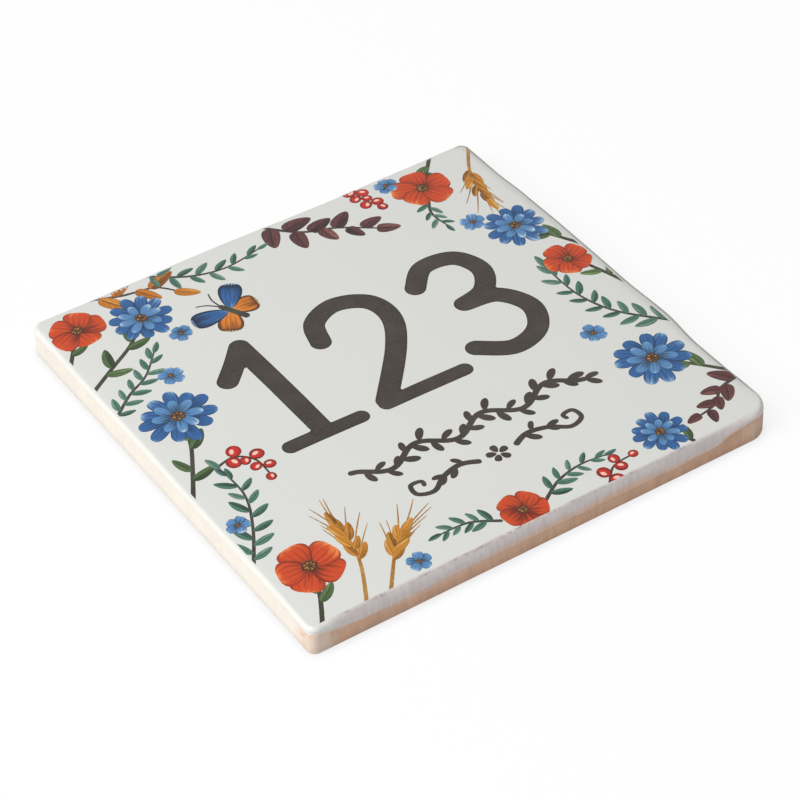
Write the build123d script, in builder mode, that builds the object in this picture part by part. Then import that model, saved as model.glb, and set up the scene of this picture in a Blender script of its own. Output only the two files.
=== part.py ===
from build123d import *
import os

# A square glazed ceramic plaque, lying on its back with the printed face up.
# X runs to the right across the face, Y up the face and Z out of it. The origin is the middle of the back.
# The glaze is fused to the fired clay body (the biscuit), so the whole plaque is one solid.

# Overall sizes, over the glaze
plaque_width = 100.0
plaque_height = 100.0
plaque_thickness = 6.8
face_edge_radius = 1.5

# Upright corners of the glaze, anticlockwise round the face from its lower left corner
front_left_radius = 2.0
front_right_radius = 5.0
back_right_radius = 2.0
back_left_radius = 2.5

# Biscuit: straight pressed sides, seen below the glaze
glaze_coat = 0.3
biscuit_cover = 1.1
biscuit_edge_radius = 0.6
back_edge_radius = 0.4

# Keying grooves in the back, for the wall adhesive
groove_count = 6
groove_width = 3.0
groove_depth = 0.8
groove_border = 9.0

# Glaze sides: how far each crest and trough stands out of the straight side.
# They are evenly spread from corner to corner, anticlockwise round the face from its lower left corner,
# and neighbours differ.
front_wave = (0.0, 0.05, 0.10, -0.04, -0.08, 0.04, -0.10)
right_wave = (-0.42, -0.37, -0.45, 0.42, 0.08, 0.20, 0.26, 0.12, -0.36, -0.45)
back_wave = (-0.38, -0.26, -0.10, -0.12, -0.26, -0.10, 0.14, 0.30, 0.36, 0.14, -0.05, -0.22, -0.26)
left_wave = (-0.22, -0.16, -0.24, -0.18, -0.22, -0.14)

# Lower edge of the glaze where it ran down the sides: its drop below the face, spread between the corners.
# All sides share the drop at the corners.
corner_drop = 1.6
front_run = (3.5, 3.6, 3.4, 3.5, 3.7, 3.8, 3.9, 4.0, 3.7)
right_run = (2.2, 2.9, 2.5, 3.2, 2.1)
back_run = (2.6, 2.1, 3.0, 2.7, 1.9)
left_run = (1.5, 1.7, 1.4, 1.6)

# Worked out from the sizes above
half_width = plaque_width / 2
half_height = plaque_height / 2
biscuit_width = plaque_width - 2 * glaze_coat
biscuit_height = plaque_height - 2 * glaze_coat
biscuit_top = plaque_thickness - biscuit_cover
corner_level = plaque_thickness - corner_drop
cut_reach = min(front_left_radius, front_right_radius, back_right_radius, back_left_radius)
groove_length = biscuit_width - 2 * groove_border
groove_pitch = (biscuit_height - 2 * groove_border - groove_width) / (groove_count - 1)

# Each side: the way out of it, its distance from the middle, the radius of the corner it starts at,
# its wave and its glaze run
sides = (
    (Vector(0, -1, 0), half_height, front_left_radius, front_wave, front_run),
    (Vector(1, 0, 0), half_width, front_right_radius, right_wave, right_run),
    (Vector(0, 1, 0), half_height, back_right_radius, back_wave, back_run),
    (Vector(-1, 0, 0), half_width, back_left_radius, left_wave, left_run),
)
up = Vector(0, 0, 1)


def along(outward):
    """The direction of a side, anticlockwise round the face."""
    return up.cross(outward)


def next_index(index):
    """The number of the side that follows a side."""
    return (index + 1) % len(sides)


def biscuit_corner(index):
    """The corner of the biscuit where a side starts, before it is rounded."""
    outward, distance = sides[index][:2]
    before_outward, before_distance = sides[index - 1][:2]
    return outward * (distance - glaze_coat) + before_outward * (before_distance - glaze_coat)


def glaze_corner(index):
    """The corner of the glaze where a side starts, before it is rounded."""
    outward, distance, radius, wave, run = sides[index]
    before_outward, before_distance, before_radius, before_wave, before_run = sides[index - 1]
    return outward * (distance + wave[0]) + before_outward * (before_distance + before_wave[-1])


def wave_points(index):
    """The crests and troughs of the glaze along one side, from corner to corner."""
    outward, distance, radius, wave, run = sides[index]
    direction = along(outward)
    start = glaze_corner(index).dot(direction)
    end = glaze_corner(next_index(index)).dot(direction)
    step = (end - start) / (len(wave) - 1)
    return [
        outward * (distance + stand_out) + direction * (start + step * number)
        for number, stand_out in enumerate(wave)
    ]


# Biscuit: a square with rounded corners and its top edge softened under the glaze
with BuildPart() as biscuit:
    with BuildSketch() as biscuit_outline:
        Rectangle(biscuit_width, biscuit_height)
        for index, side in enumerate(sides):
            vertex = biscuit_outline.vertices().sort_by_distance(biscuit_corner(index))[0]
            fillet(vertex, side[2] - glaze_coat)
    extrude(amount=biscuit_top)
    fillet(biscuit.faces().sort_by(Axis.Z)[-1].edges(), biscuit_edge_radius)
    fillet(biscuit.faces().sort_by(Axis.Z)[0].edges(), back_edge_radius)

# Plaque: the glaze with its rounded edge, wavy sides and uneven lower edge, fused to the biscuit,
# and the keying grooves in its back
with BuildPart() as tile:
    with BuildSketch(Plane.XY.offset(back_edge_radius)) as glaze_outline:
        with BuildLine():
            for index, side in enumerate(sides):
                direction = along(side[0])
                points = wave_points(index)
                for start, end in zip(points, points[1:]):
                    middle = (start + end) * 0.5
                    TangentArc(start, middle, tangent=direction)
                    TangentArc(end, middle, tangent=-direction)
        make_face()
        for index, side in enumerate(sides):
            vertex = glaze_outline.vertices().sort_by_distance(glaze_corner(index))[0]
            fillet(vertex, side[2])
    extrude(amount=plaque_thickness - back_edge_radius)
    fillet(tile.faces().sort_by(Axis.Z)[-1].edges(), face_edge_radius)

    # The glaze stops short of the back: what is below its lower edge is cut away, side by side
    for index, (outward, distance, radius, wave, run) in enumerate(sides):
        half_length = sides[index - 1][1]
        cut_end = half_length + cut_reach
        run_start = radius - half_length
        run_end = half_length - sides[next_index(index)][2]
        step = (run_end - run_start) / (len(run) + 1)
        run_points = [
            (run_start + step * (number + 1), plaque_thickness - drop) for number, drop in enumerate(run)
        ]
        with BuildSketch(Plane(outward * (distance + cut_reach), x_dir=along(outward), z_dir=outward)):
            with BuildLine():
                Line((-cut_end, corner_level), (run_start, corner_level))
                Spline(
                    (run_start, corner_level),
                    *run_points,
                    (run_end, corner_level),
                    tangents=((1, 0), (1, 0)),
                )
                Polyline(
                    (run_end, corner_level),
                    (cut_end, corner_level),
                    (cut_end, 0),
                    (-cut_end, 0),
                    (-cut_end, corner_level),
                )
            make_face()
        extrude(amount=-2 * cut_reach, mode=Mode.SUBTRACT)
    add(biscuit.part)

    with BuildSketch():
        with GridLocations(0, groove_pitch, 1, groove_count):
            SlotOverall(groove_length, groove_width)
    extrude(amount=groove_depth, mode=Mode.SUBTRACT)

tile.part.label = "tile"
os.makedirs("parts", exist_ok=True)
export_step(tile.part, "parts/tile.step")
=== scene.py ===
"""A square glazed house number plaque: the fired tile, its number and its painted border."""

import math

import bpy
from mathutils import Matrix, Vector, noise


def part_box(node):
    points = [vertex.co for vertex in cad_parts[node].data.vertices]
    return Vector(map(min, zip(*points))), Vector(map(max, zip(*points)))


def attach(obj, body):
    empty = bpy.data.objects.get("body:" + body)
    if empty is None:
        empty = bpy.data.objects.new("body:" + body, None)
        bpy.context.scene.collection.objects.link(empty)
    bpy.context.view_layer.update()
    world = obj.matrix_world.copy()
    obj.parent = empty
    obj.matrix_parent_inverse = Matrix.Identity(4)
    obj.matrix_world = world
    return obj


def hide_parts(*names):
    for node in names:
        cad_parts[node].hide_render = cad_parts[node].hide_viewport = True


bl_info = {
    "name": "Glazed House Number Plaque",
    "version": (1, 0, 0),
    "blender": (4, 5, 0),
    "location": "3D View > Sidebar > Plaque",
    "description": "Builds a glazed tile with a house number, a painted border and a plain stage",
    "category": "Add Mesh",
}

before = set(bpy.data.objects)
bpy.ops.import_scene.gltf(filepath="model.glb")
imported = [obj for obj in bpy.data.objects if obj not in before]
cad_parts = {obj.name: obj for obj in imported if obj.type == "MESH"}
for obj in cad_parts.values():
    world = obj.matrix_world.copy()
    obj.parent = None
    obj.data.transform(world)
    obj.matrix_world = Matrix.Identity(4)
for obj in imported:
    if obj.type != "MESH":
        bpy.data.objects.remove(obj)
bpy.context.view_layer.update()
TILE_LOW, TILE_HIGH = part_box("tile")

BODY = "root"
MM = 0.001
UP = Vector((0.0, 0.0, 1.0))


def paint(red, green, blue):
    """A colour given in screen steps from 0 to 255, as the linear colour that a shader takes."""
    steps = [value / 255 for value in (red, green, blue)]
    linear = [s / 12.92 if s <= 0.04045 else ((s + 0.055) / 1.055) ** 2.4 for s in steps]
    return (*linear, 1.0)


# Glaze at the four sides, anticlockwise round the face from its lower left corner, in millimetres: the way
# out of the side, how far its crests and troughs stand out from corner to corner, how far the glaze ran down
# between the corners, how far down it still hides the clay, over what height it thins out there, how far it
# leans back below the face and how round the edge of the face is. Toast is a share: how toasted the fired
# clay is. It is also painted light: it is low on the left side, which faces the key lamp, where the clay is
# painted pale for the light on it. The corner is the one that the side starts at.
SIDES = {
    "front": {
        "outward": Vector((0.0, -1.0, 0.0)),
        "corner": {"radius": 2.0, "edge": 2.3, "thinning": 0.6, "lean": 0.25, "rounding": 0.8, "toast": 0.77},
        "wave": (0.0, 0.05, 0.10, -0.04, -0.08, 0.04, -0.10),
        "run": (3.5, 3.6, 3.4, 3.5, 3.7, 3.8, 3.9, 4.0, 3.7),
        "edge": (
            3.5, 3.8, 4.3, 4.6, 4.6, 4.5, 4.2, 4.0, 3.9, 3.7, 3.6, 3.9, 3.5, 3.8, 3.9, 4.1, 4.0, 3.8, 2.1),
        "thinning": (1.4, 2.4, 2.9, 2.6, 2.4, 2.5, 2.6, 2.0, 0.9),
        "lean": 0.55,
        "rounding": 0.45,
        "toast": (1.0,) * 14,
    },
    "right": {
        "outward": Vector((1.0, 0.0, 0.0)),
        "corner": {"radius": 5.0, "edge": 1.6, "thinning": 0.5, "lean": 0.3, "rounding": 0.9, "toast": 0.88},
        "wave": (-0.42, -0.37, -0.45, 0.42, 0.08, 0.20, 0.26, 0.12, -0.36, -0.45),
        "run": (2.2, 2.9, 2.5, 3.2, 2.1),
        "edge": (2.3, 3.0, 2.6, 3.3, 2.2),
        "thinning": (1.2, 1.8, 1.6, 1.8, 1.1),
        "lean": 0.0,
        "rounding": 1.25,
        "toast": 0.98,
    },
    "back": {
        "outward": Vector((0.0, 1.0, 0.0)),
        "corner": {"radius": 2.0, "edge": 1.5, "thinning": 0.5, "lean": 0.0, "rounding": 0.9, "toast": 0.86},
        "wave": (-0.38, -0.26, -0.10, -0.12, -0.26, -0.10, 0.14, 0.30, 0.36, 0.14, -0.05, -0.22, -0.26),
        "run": (2.6, 2.1, 3.0, 2.7, 1.9),
        "edge": (2.7, 2.2, 3.1, 2.8, 2.0),
        "thinning": (1.4, 1.2, 1.8, 1.5, 1.0),
        "lean": 0.0,
        "rounding": 1.5,
        "toast": 0.8,
    },
    "left": {
        "outward": Vector((-1.0, 0.0, 0.0)),
        "corner": {"radius": 2.5, "edge": 1.6, "thinning": 0.5, "lean": 0.0, "rounding": 1.1, "toast": 0.5},
        "wave": (-0.22, -0.16, -0.24, -0.18, -0.22, -0.14),
        "run": (1.5, 1.7, 1.4, 1.6),
        "edge": (0.8, 0.6, 0.75, 0.55, 0.7, 0.9, 0.6, 0.7, 0.5, 0.8, 0.65),
        "thinning": (0.3, 0.25, 0.3, 0.25),
        "lean": 0.0,
        "rounding": 1.0,
        "toast": (0.3, 0.1, 0.0, 0.0, 0.0, 0.0, 0.0, 0.0, 0.2, 0.4),
    },
}

# How far the glaze ran down at every corner, in millimetres
CORNER_RUN = 1.6

# Number: the strokes of its figures and their slimmer feet, as points of the face in millimetres from its
# middle
NUMBER_STROKES = (
    ((-27.8, 13.4), (-24.2, 17.0), (-20.9, 20.7)),
    ((-20.9, 20.7), (-20.6, 6.0), (-20.5, -8.2)),
    ((-7.8, 13.0), (-5.8, 18.4), (0.0, 20.8), (5.9, 17.8), (6.9, 11.4), (2.8, 3.6), (-6.8, -7.9)),
    ((15.4, 16.0), (20.0, 20.4), (26.5, 19.4), (28.9, 13.6), (25.8, 8.2), (20.4, 6.7)),
    ((20.4, 6.7), (27.0, 5.4), (30.3, -0.9), (27.4, -7.1), (20.9, -9.0), (14.8, -5.2)),
)
NUMBER_FEET = (
    ((-27.9, -8.7), (-20.5, -8.8), (-13.1, -9.0)),
    ((-7.3, -8.7), (1.0, -8.8), (9.6, -9.0)),
)

# Flourish below the number: a wavy vine, and under it a pair of curls on both sides of a small star
FLOURISH_MIDDLE = 1.5
VINE_HALF = 25.0
VINE_LEVEL = -22.4
VINE_SWING = 1.7
VINE_WAVES = 3.5
VINE_STEPS = 8
VINE_LEAF_PAIRS = 15
VINE_LEAF = 3.4
CURL_LEVEL = -31.6
CURL = (
    (3.6, 0.0), (7.2, 1.5), (11.4, 0.6), (14.8, -1.6),
    (17.8, -0.6), (17.6, 1.9), (15.4, 1.8), (15.6, 0.3),
)
CURL_LEAFY_POINTS = 3
CURL_LEAF_PAIRS = 3
CURL_LEAF = 3.0

# Leafy stems: points of the stem, pairs of leaves and the length of a leaf
GREEN_SPRAYS = (
    (((-50.0, -32.0), (-44.4, -22.6), (-41.2, -14.4), (-41.4, -5.6)), 9, 5.0),
    (((-50.8, 15.5), (-44.6, 20.6), (-39.4, 23.6), (-34.4, 29.0)), 8, 4.2),
    (((-26.2, 50.8), (-18.4, 44.8), (-10.6, 42.6), (-2.2, 44.0)), 8, 4.4),
    (((50.4, -20.8), (42.6, -12.0), (39.4, -3.4), (39.2, 7.6)), 10, 4.8),
    (((33.2, 38.0), (31.0, 33.6), (31.4, 28.4)), 5, 3.8),
    (((1.0, -46.6), (6.0, -43.6), (11.6, -42.4), (17.0, -43.0)), 7, 4.0),
    (((-7.8, -46.4), (-13.0, -43.4), (-19.0, -43.0)), 6, 3.8),
)
FLOWER_STALKS = (
    (((-50.2, -12.0), (-45.6, -4.0), (-42.0, 3.0), (-40.2, 10.5)), 4, 5.6),
    (((-51.0, 24.4), (-43.6, 29.0), (-37.0, 33.2), (-31.6, 38.8)), 4, 5.0),
    (((-48.0, -51.0), (-43.8, -43.4), (-41.5, -36.5)), 3, 4.8),
    (((-50.6, 32.4), (-46.8, 37.8), (-43.4, 42.6)), 3, 4.2),
    (((42.2, 50.8), (38.0, 45.8), (34.0, 41.5)), 3, 4.6),
    (((50.2, -8.6), (47.4, 0.0), (45.0, 6.5)), 3, 4.4),
    (((50.6, 6.6), (46.4, 14.0), (42.0, 21.0)), 3, 5.0),
    (((50.6, -38.8), (45.0, -32.4), (39.6, -26.4)), 3, 5.6),
    (((32.4, -52.0), (31.6, -48.0), (28.4, -43.6)), 3, 4.6),
    (((1.4, -51.0), (-1.2, -48.4), (-3.4, -46.0)), 2, 4.0),
)
PLUM_TWIGS = (
    (((0.4, 50.8), (6.6, 43.8), (13.4, 40.6), (20.4, 35.4)), 6, 6.2),
    (((51.0, -39.1), (44.8, -40.4), (41.0, -43.4), (36.4, -44.4)), 5, 5.0),
)
OCHRE_TWIGS = (
    (((-40.4, 51.0), (-31.6, 47.0), (-25.0, 45.4), (-21.6, 41.6)), 4, 6.6),
)
WHEAT_EARS = (
    (((-39.0, -51.0), (-34.4, -42.0), (-32.6, -36.0), (-32.2, -29.6)), 10, 4.6),
    (((-34.4, -51.0), (-29.4, -44.4), (-26.4, -40.8), (-22.6, -38.2)), 10, 4.4),
    (((50.4, 49.2), (45.6, 42.0), (43.2, 36.0), (42.6, 30.4)), 9, 4.2),
)
CURRANT_STRINGS = (
    (((-41.4, -5.6), (-37.6, -5.0), (-34.8, -7.8), (-34.6, -12.6)), 5, 2.9),
    (((11.8, -51.0), (15.8, -46.4), (20.4, -45.6)), 4, 2.8),
    (((23.4, 51.0), (22.4, 46.0), (24.2, 41.8)), 5, 2.8),
)

# How many times as long as its grain an awn of the wheat is
AWN_LENGTH = 2.1

# Flowers, stars and butterflies: the middle, the radius and the turn in degrees
BLUE_DAISIES = (
    (-40.2, 10.5, 7.2, 10),
    (-31.6, 38.8, 6.4, 25),
    (39.6, -26.4, 7.2, 0),
    (28.4, -43.6, 5.2, 40),
    (42.0, 21.0, 6.2, 15),
)
POPPIES = (
    (-41.5, -36.5, 6.2, 20),
    (-43.4, 42.6, 5.4, 60),
    (34.0, 41.5, 5.6, 5),
    (-3.4, -46.0, 4.6, 45),
    (44.2, 6.5, 4.6, 30),
)
SMALL_STARS = (
    (-35.4, 21.0, 2.5, 10),
    (-27.6, 30.6, 2.3, 40),
    (36.0, 26.6, 2.5, 0),
    (35.0, -14.4, 2.5, 20),
    (-25.4, -46.4, 2.3, 0),
    (28.6, 46.4, 2.4, 15),
    (-46.2, -20.6, 2.3, 50),
)
FLOURISH_STARS = (
    (FLOURISH_MIDDLE, CURL_LEVEL, 2.3, 90),
)
BUTTERFLIES = (
    (-16.6, 31.0, 7.6, 118),
)

# Butterfly: its body and one feeler, ahead of its middle and beside it, as shares of its radius
BUTTERFLY_BODY = (-0.55, -0.1, 0.36)
BUTTERFLY_FEELER = ((0.34, 0.02), (0.62, 0.12), (0.84, 0.30))

# Each of its two wings stands a quarter of this spread in degrees to its side of the way ahead
LOWER_WING_SPREAD = 4 * 122
UPPER_WING_SPREAD = 4 * 58


def length_setting(name, description, default):
    """A length that a user can change."""
    return bpy.props.FloatProperty(name=name, description=description, default=default, unit="LENGTH")


def point_setting(name, description, default):
    """A point that a user can move."""
    return bpy.props.FloatVectorProperty(
        name=name, description=description, default=default, subtype="XYZ", unit="LENGTH")


def angle_setting(name, description, degrees):
    """An angle that a user can change."""
    return bpy.props.FloatProperty(
        name=name, description=description, default=math.radians(degrees), subtype="ANGLE")


def colour_setting(name, description, default):
    """A colour that a user can change."""
    return bpy.props.FloatVectorProperty(
        name=name, description=description, default=default, subtype="COLOR", size=4)


class TileSettings(bpy.types.PropertyGroup):
    """Sizes and colours of the fired and glazed tile."""

    side: length_setting("Side", "Width and height of the face, over the glaze", 100 * MM)
    thickness: length_setting(
        "Thickness", "From the back to the highest point of the glaze", TILE_HIGH.z - TILE_LOW.z)
    glaze_coat: length_setting("Glaze coat", "How far the glaze stands out of the clay sides", 0.3 * MM)
    glaze_lip: length_setting(
        "Glaze lip", "How far the lower edge of the glaze stands out of the clay", 0.15 * MM)
    back_rounding: length_setting("Back rounding", "Radius of the clay body's lower edge", 0.4 * MM)
    print_room: length_setting("Print room", "Height kept free over the glaze for the paint", 0.07 * MM)
    undulation: length_setting("Undulation", "Height of the slow waves in the glaze", 0.07 * MM)
    edge_fall: length_setting("Edge fall", "How far the glaze sinks towards the edge of the face", 0.22 * MM)
    groove_count: bpy.props.IntProperty(
        name="Grooves", description="Keying grooves in the back", default=6, min=2)
    groove_width: length_setting("Groove width", "Width of a keying groove", 3.0 * MM)
    groove_depth: length_setting("Groove depth", "Depth of a keying groove", 0.8 * MM)
    groove_border: length_setting("Groove border", "Plain clay between the grooves and the sides", 9.0 * MM)
    cells: bpy.props.IntProperty(
        name="Cells", description="Faces along one side of the mesh", default=168, min=40)
    glaze_white: colour_setting("Glaze", "Glaze where it is thick", paint(221, 222, 217))
    # The thin glaze colour is partly painted shade: darker and tinted grey-lilac for the cool shade on the
    # front
    glaze_thin: colour_setting("Thin glaze", "Glaze where it runs thin over the clay", paint(209, 200, 198))
    # Border grey is also painted shade on the rim of the right side, which turns away from the key lamp
    border_grey: colour_setting(
        "Border grey", "Faint line along the front edge of the face, and the rim of the right side",
        paint(150, 146, 143))
    pinhole: colour_setting("Pinhole", "Small dots where a bubble burst in the glaze", paint(150, 140, 132))
    # Pale clay is painted light: the clay lightened on the left side, where the key lamp shines. Toasted clay
    # is its own colour, on the sides away from the lamp.
    clay_pale: colour_setting("Pale clay", "Fired clay on the cool side", paint(224, 217, 207))
    clay_toasted: colour_setting("Toasted clay", "Fired clay on the hot side", paint(214, 175, 148))


class PrintSettings(bpy.types.PropertyGroup):
    """Sizes and colours of the number and the painted border."""

    low: point_setting(
        "Low", "Lower left corner of the field that the paint is cut to", (-48.8 * MM, -49.1 * MM, 0.0))
    high: point_setting(
        "High", "Upper right corner of the field that the paint is cut to", (48.75 * MM, 49.0 * MM, 0.0))
    film: length_setting("Film", "Thickness of the paint, most of it sunk in the glaze", 0.09 * MM)
    number_stroke: length_setting(
        "Number stroke", "Width of the brush that wrote the number", 4.15 * MM)
    number_foot: length_setting(
        "Number foot", "Width of the brush at the feet of the figures", 3.3 * MM)
    charcoal: colour_setting("Charcoal", "Number and flourish", paint(56, 48, 40))
    charcoal_worn: colour_setting(
        "Worn charcoal", "Fine dots where the charcoal is thin", paint(92, 83, 75))
    stem_dark: colour_setting("Dark stem", "Shaded part of a stem", paint(54, 46, 40))
    stem_light: colour_setting("Light stem", "Lit part of a stem", paint(96, 104, 78))
    teal: colour_setting("Teal", "Leaves of the sprays", paint(78, 124, 108))
    teal_light: colour_setting("Light teal", "Lit leaves of the sprays", paint(142, 172, 144))
    green: colour_setting("Green", "Leaves of the flower stalks", paint(84, 112, 66))
    green_light: colour_setting("Light green", "Lit leaves of the flower stalks", paint(150, 168, 104))
    plum: colour_setting("Plum", "Leaves of the dark twigs", paint(98, 54, 54))
    plum_light: colour_setting("Light plum", "Lit leaves of the dark twigs", paint(158, 102, 90))
    ochre: colour_setting("Ochre", "Autumn leaves", paint(202, 122, 36))
    ochre_light: colour_setting("Light ochre", "Lit autumn leaves", paint(236, 176, 86))
    straw: colour_setting("Straw", "Stalks and awns of the wheat", paint(150, 98, 34))
    wheat: colour_setting("Wheat", "Grains of the wheat", paint(206, 136, 44))
    wheat_light: colour_setting("Light wheat", "Lit grains and stalks of the wheat", paint(238, 190, 104))
    blue: colour_setting("Blue", "Outer petals of the daisies, and the upper wings", paint(48, 98, 156))
    blue_light: colour_setting(
        "Light blue", "Lit outer petals and the dots of the upper wings", paint(158, 196, 222))
    pale_blue: colour_setting(
        "Pale blue", "Inner petals of the daisies, and the stars", paint(92, 142, 192))
    pale_blue_light: colour_setting("Lightest blue", "Lit inner petals", paint(206, 226, 238))
    orange: colour_setting("Orange", "Poppies", paint(206, 72, 30))
    orange_light: colour_setting("Light orange", "Lit poppies", paint(240, 136, 70))
    heart: colour_setting("Heart", "Middles of the flowers", paint(96, 58, 30))
    heart_light: colour_setting("Light heart", "Pollen in the flowers", paint(214, 160, 70))
    red: colour_setting("Red", "Currants", paint(200, 44, 34))
    red_light: colour_setting("Light red", "Lights on the currants", paint(250, 214, 196))
    amber: colour_setting("Amber", "Lower wings", paint(222, 128, 40))
    amber_light: colour_setting("Light amber", "Dots of the lower wings", paint(246, 214, 150))


class StageSettings(bpy.types.PropertyGroup):
    """The camera, the lamp and the floor."""

    azimuth: angle_setting("Azimuth", "Turn of the camera round the plaque", -31.95)
    elevation: angle_setting("Elevation", "Height of the camera over the floor", 40.92)
    roll: angle_setting("Roll", "Lean of the camera", -2.36)
    distance: length_setting("Distance", "From the camera to the point it looks at", 572.0 * MM)
    aim: point_setting("Aim", "The point that the camera looks at", (-0.77 * MM, -2.77 * MM, 0.0))
    lens: bpy.props.FloatProperty(
        name="Lens", description="Focal length in millimetres on a 36 mm sensor", default=138.8)
    floor_side: length_setting("Floor", "Side of the floor", 4.0)
    key_power: bpy.props.FloatProperty(
        name="Key lamp", description="Power of the large soft lamp on the left", unit="POWER", default=15.0)
    sky: bpy.props.FloatProperty(
        name="Sky", description="Level of the even light from all round", default=0.33)


# Node trees

class Field:
    """A node's output that can take part in a sum, so that a tree reads as a formula."""

    def __init__(self, bench, socket):
        self.bench = bench
        self.socket = socket

    def calc(self, operation, *others):
        """The result of one Math node on this field and other values."""
        node = self.bench.add("ShaderNodeMath", operation=operation)
        for slot, value in zip(node.inputs, (self, *others)):
            self.bench.plug(slot, value)
        return Field(self.bench, node.outputs[0])

    def __add__(self, other):
        return self.calc("ADD", other)

    def __sub__(self, other):
        return self.calc("SUBTRACT", other)

    def __mul__(self, other):
        return self.calc("MULTIPLY", other)

    def __truediv__(self, other):
        return self.calc("DIVIDE", other)

    def __pow__(self, other):
        return self.calc("POWER", other)

    def flipped(self):
        """One less this field."""
        return (self * -1.0) + 1.0

    def sine(self):
        return self.calc("SINE")

    def cosine(self):
        return self.calc("COSINE")

    def size(self):
        """The field without its sign."""
        return self.calc("ABSOLUTE")

    def ramp(self, low, high, to_low=0.0, to_high=1.0):
        """The field taken smoothly from one range to another, and held at its ends."""
        node = self.bench.add(
            "ShaderNodeMapRange",
            {"From Min": low, "From Max": high, "To Min": to_low, "To Max": to_high},
            interpolation_type="SMOOTHSTEP")
        self.bench.plug(node.inputs["Value"], self)
        return Field(self.bench, node.outputs["Result"])


# Sockets of a Mix node by its type of data: the first value, the second value and the result
MIX_SOCKETS = {"FLOAT": (2, 3, 0), "RGBA": (6, 7, 2)}


class Bench:
    """One node tree while it is being built."""

    def __init__(self, tree):
        self.tree = tree
        self.inputs = {}
        self.result = None

    def plug(self, slot, value):
        """Links a field to a socket, or sets the socket's own value."""
        if isinstance(value, Field):
            self.tree.links.new(value.socket, slot)
        elif isinstance(value, bpy.types.NodeSocket):
            self.tree.links.new(value, slot)
        else:
            slot.default_value = value

    def add(self, kind, sockets=None, **options):
        """A new node, with its options set and its input sockets linked or set."""
        node = self.tree.nodes.new(kind)
        for option, value in options.items():
            setattr(node, option, value)
        for label, value in (sockets or {}).items():
            self.plug(node.inputs[label], value)
        return node

    def field(self, kind, sockets=None, output=0, **options):
        """The output of a new node."""
        return Field(self, self.add(kind, sockets, **options).outputs[output])

    def vector(self, x=0.0, y=0.0, z=0.0):
        return self.field("ShaderNodeCombineXYZ", {"X": x, "Y": y, "Z": z})

    def split(self, vector):
        """The three parts of a vector."""
        node = self.add("ShaderNodeSeparateXYZ", {"Vector": vector})
        return [Field(self, output) for output in node.outputs]

    def store(self, geometry, name, value, data_type="FLOAT", domain="POINT"):
        """The geometry with a named attribute written to it."""
        return self.field(
            "GeometryNodeStoreNamedAttribute",
            {"Geometry": geometry, "Name": name, "Value": value},
            data_type=data_type, domain=domain)

    def read(self, name, data_type="FLOAT"):
        """A named attribute of the geometry."""
        return self.field("GeometryNodeInputNamedAttribute", {"Name": name}, data_type=data_type)

    def attribute(self, name):
        """A named attribute of a piece, for its material."""
        return self.field("ShaderNodeAttribute", output="Fac", attribute_name=name)

    def drop_points(self, geometry, unwanted):
        """The geometry without its unwanted points."""
        return self.field(
            "GeometryNodeDeleteGeometry", {"Geometry": geometry, "Selection": unwanted}, domain="POINT")

    def drop_faces(self, mesh, outside):
        """The mesh without the faces that have all of their points outside."""
        marked = self.store(mesh, "blade_outside", outside, "BOOLEAN")
        all_outside = self.read("blade_outside", "BOOLEAN")
        return self.field(
            "GeometryNodeDeleteGeometry", {"Geometry": marked, "Selection": all_outside}, domain="FACE")

    def chance(self, number):
        """A fixed random value from 0 to 1 for a number."""
        return self.field(
            "ShaderNodeTexWhiteNoise", {"W": number}, output="Value", noise_dimensions="1D")

    def position(self):
        return self.field("GeometryNodeInputPosition")

    def vector_math(self, operation, vector, other):
        """The result of one Vector Math node on a vector and another one, or a number that scales it."""
        slot = "Scale" if operation == "SCALE" else 1
        return self.field("ShaderNodeVectorMath", {0: vector, slot: other}, operation=operation)

    def mix_node(self, data_type, share, first, second):
        """The result of one Mix node."""
        first_slot, second_slot, output = MIX_SOCKETS[data_type]
        sockets = {"Factor": share, first_slot: first, second_slot: second}
        return self.field("ShaderNodeMix", sockets, output=output, data_type=data_type)

    def mix(self, share, first, second):
        """Two colours mixed by a share."""
        return self.mix_node("RGBA", share, first, second)

    def blend(self, share, first, second):
        """Two numbers mixed by a share."""
        return self.mix_node("FLOAT", share, first, second)


def new_bench(name, kind, inputs, outputs):
    """A node group with named sockets. Each input is a label, a socket type and, if any, a default."""
    tree = bpy.data.node_groups.new(name, kind)
    for label, socket_type, *default in inputs:
        socket = tree.interface.new_socket(label, in_out="INPUT", socket_type=socket_type)
        if default:
            socket.default_value = default[0]
    for label, socket_type in outputs:
        tree.interface.new_socket(label, in_out="OUTPUT", socket_type=socket_type)
    bench = Bench(tree)
    source = tree.nodes.new("NodeGroupInput")
    bench.inputs = {label: Field(bench, source.outputs[label]) for label, *rest in inputs}
    bench.result = tree.nodes.new("NodeGroupOutput")
    return bench


# Clay and glaze

COLOUR = "NodeSocketColor"
NUMBER = "NodeSocketFloat"
VECTOR = "NodeSocketVector"


def cloud(bench, vector, scale, detail=2.0, roughness=0.5):
    """Soft noise from 0 to 1 over a vector."""
    return bench.field(
        "ShaderNodeTexNoise",
        {"Vector": vector, "Scale": scale, "Detail": detail, "Roughness": roughness},
        output="Fac")


def streaked(bench, place, across, upright, detail=2.0, roughness=0.5):
    """Soft noise from 0 to 1 with a scale of its own across and another one upright."""
    stretched = bench.vector_math("MULTIPLY", place, (across, across, upright))
    return cloud(bench, stretched, 1.0, detail, roughness)


def uneven_gloss(bench, place, scale, low, high):
    """A roughness that drifts softly from low to high."""
    return cloud(bench, place, scale).ramp(0.3, 0.7, low, high)


def new_material(name):
    """A new material, the bench for its nodes, its shader and the place on the object."""
    material = bpy.data.materials.new(name)
    material.use_nodes = True
    bench = Bench(material.node_tree)
    shader = material.node_tree.nodes["Principled BSDF"]
    return material, bench, shader, bench.field("ShaderNodeTexCoord", output="Object")


# Shares of the clay's red, green and blue that its dark specks keep
SPECK_TINT = (0.62, 0.50, 0.42)


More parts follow.
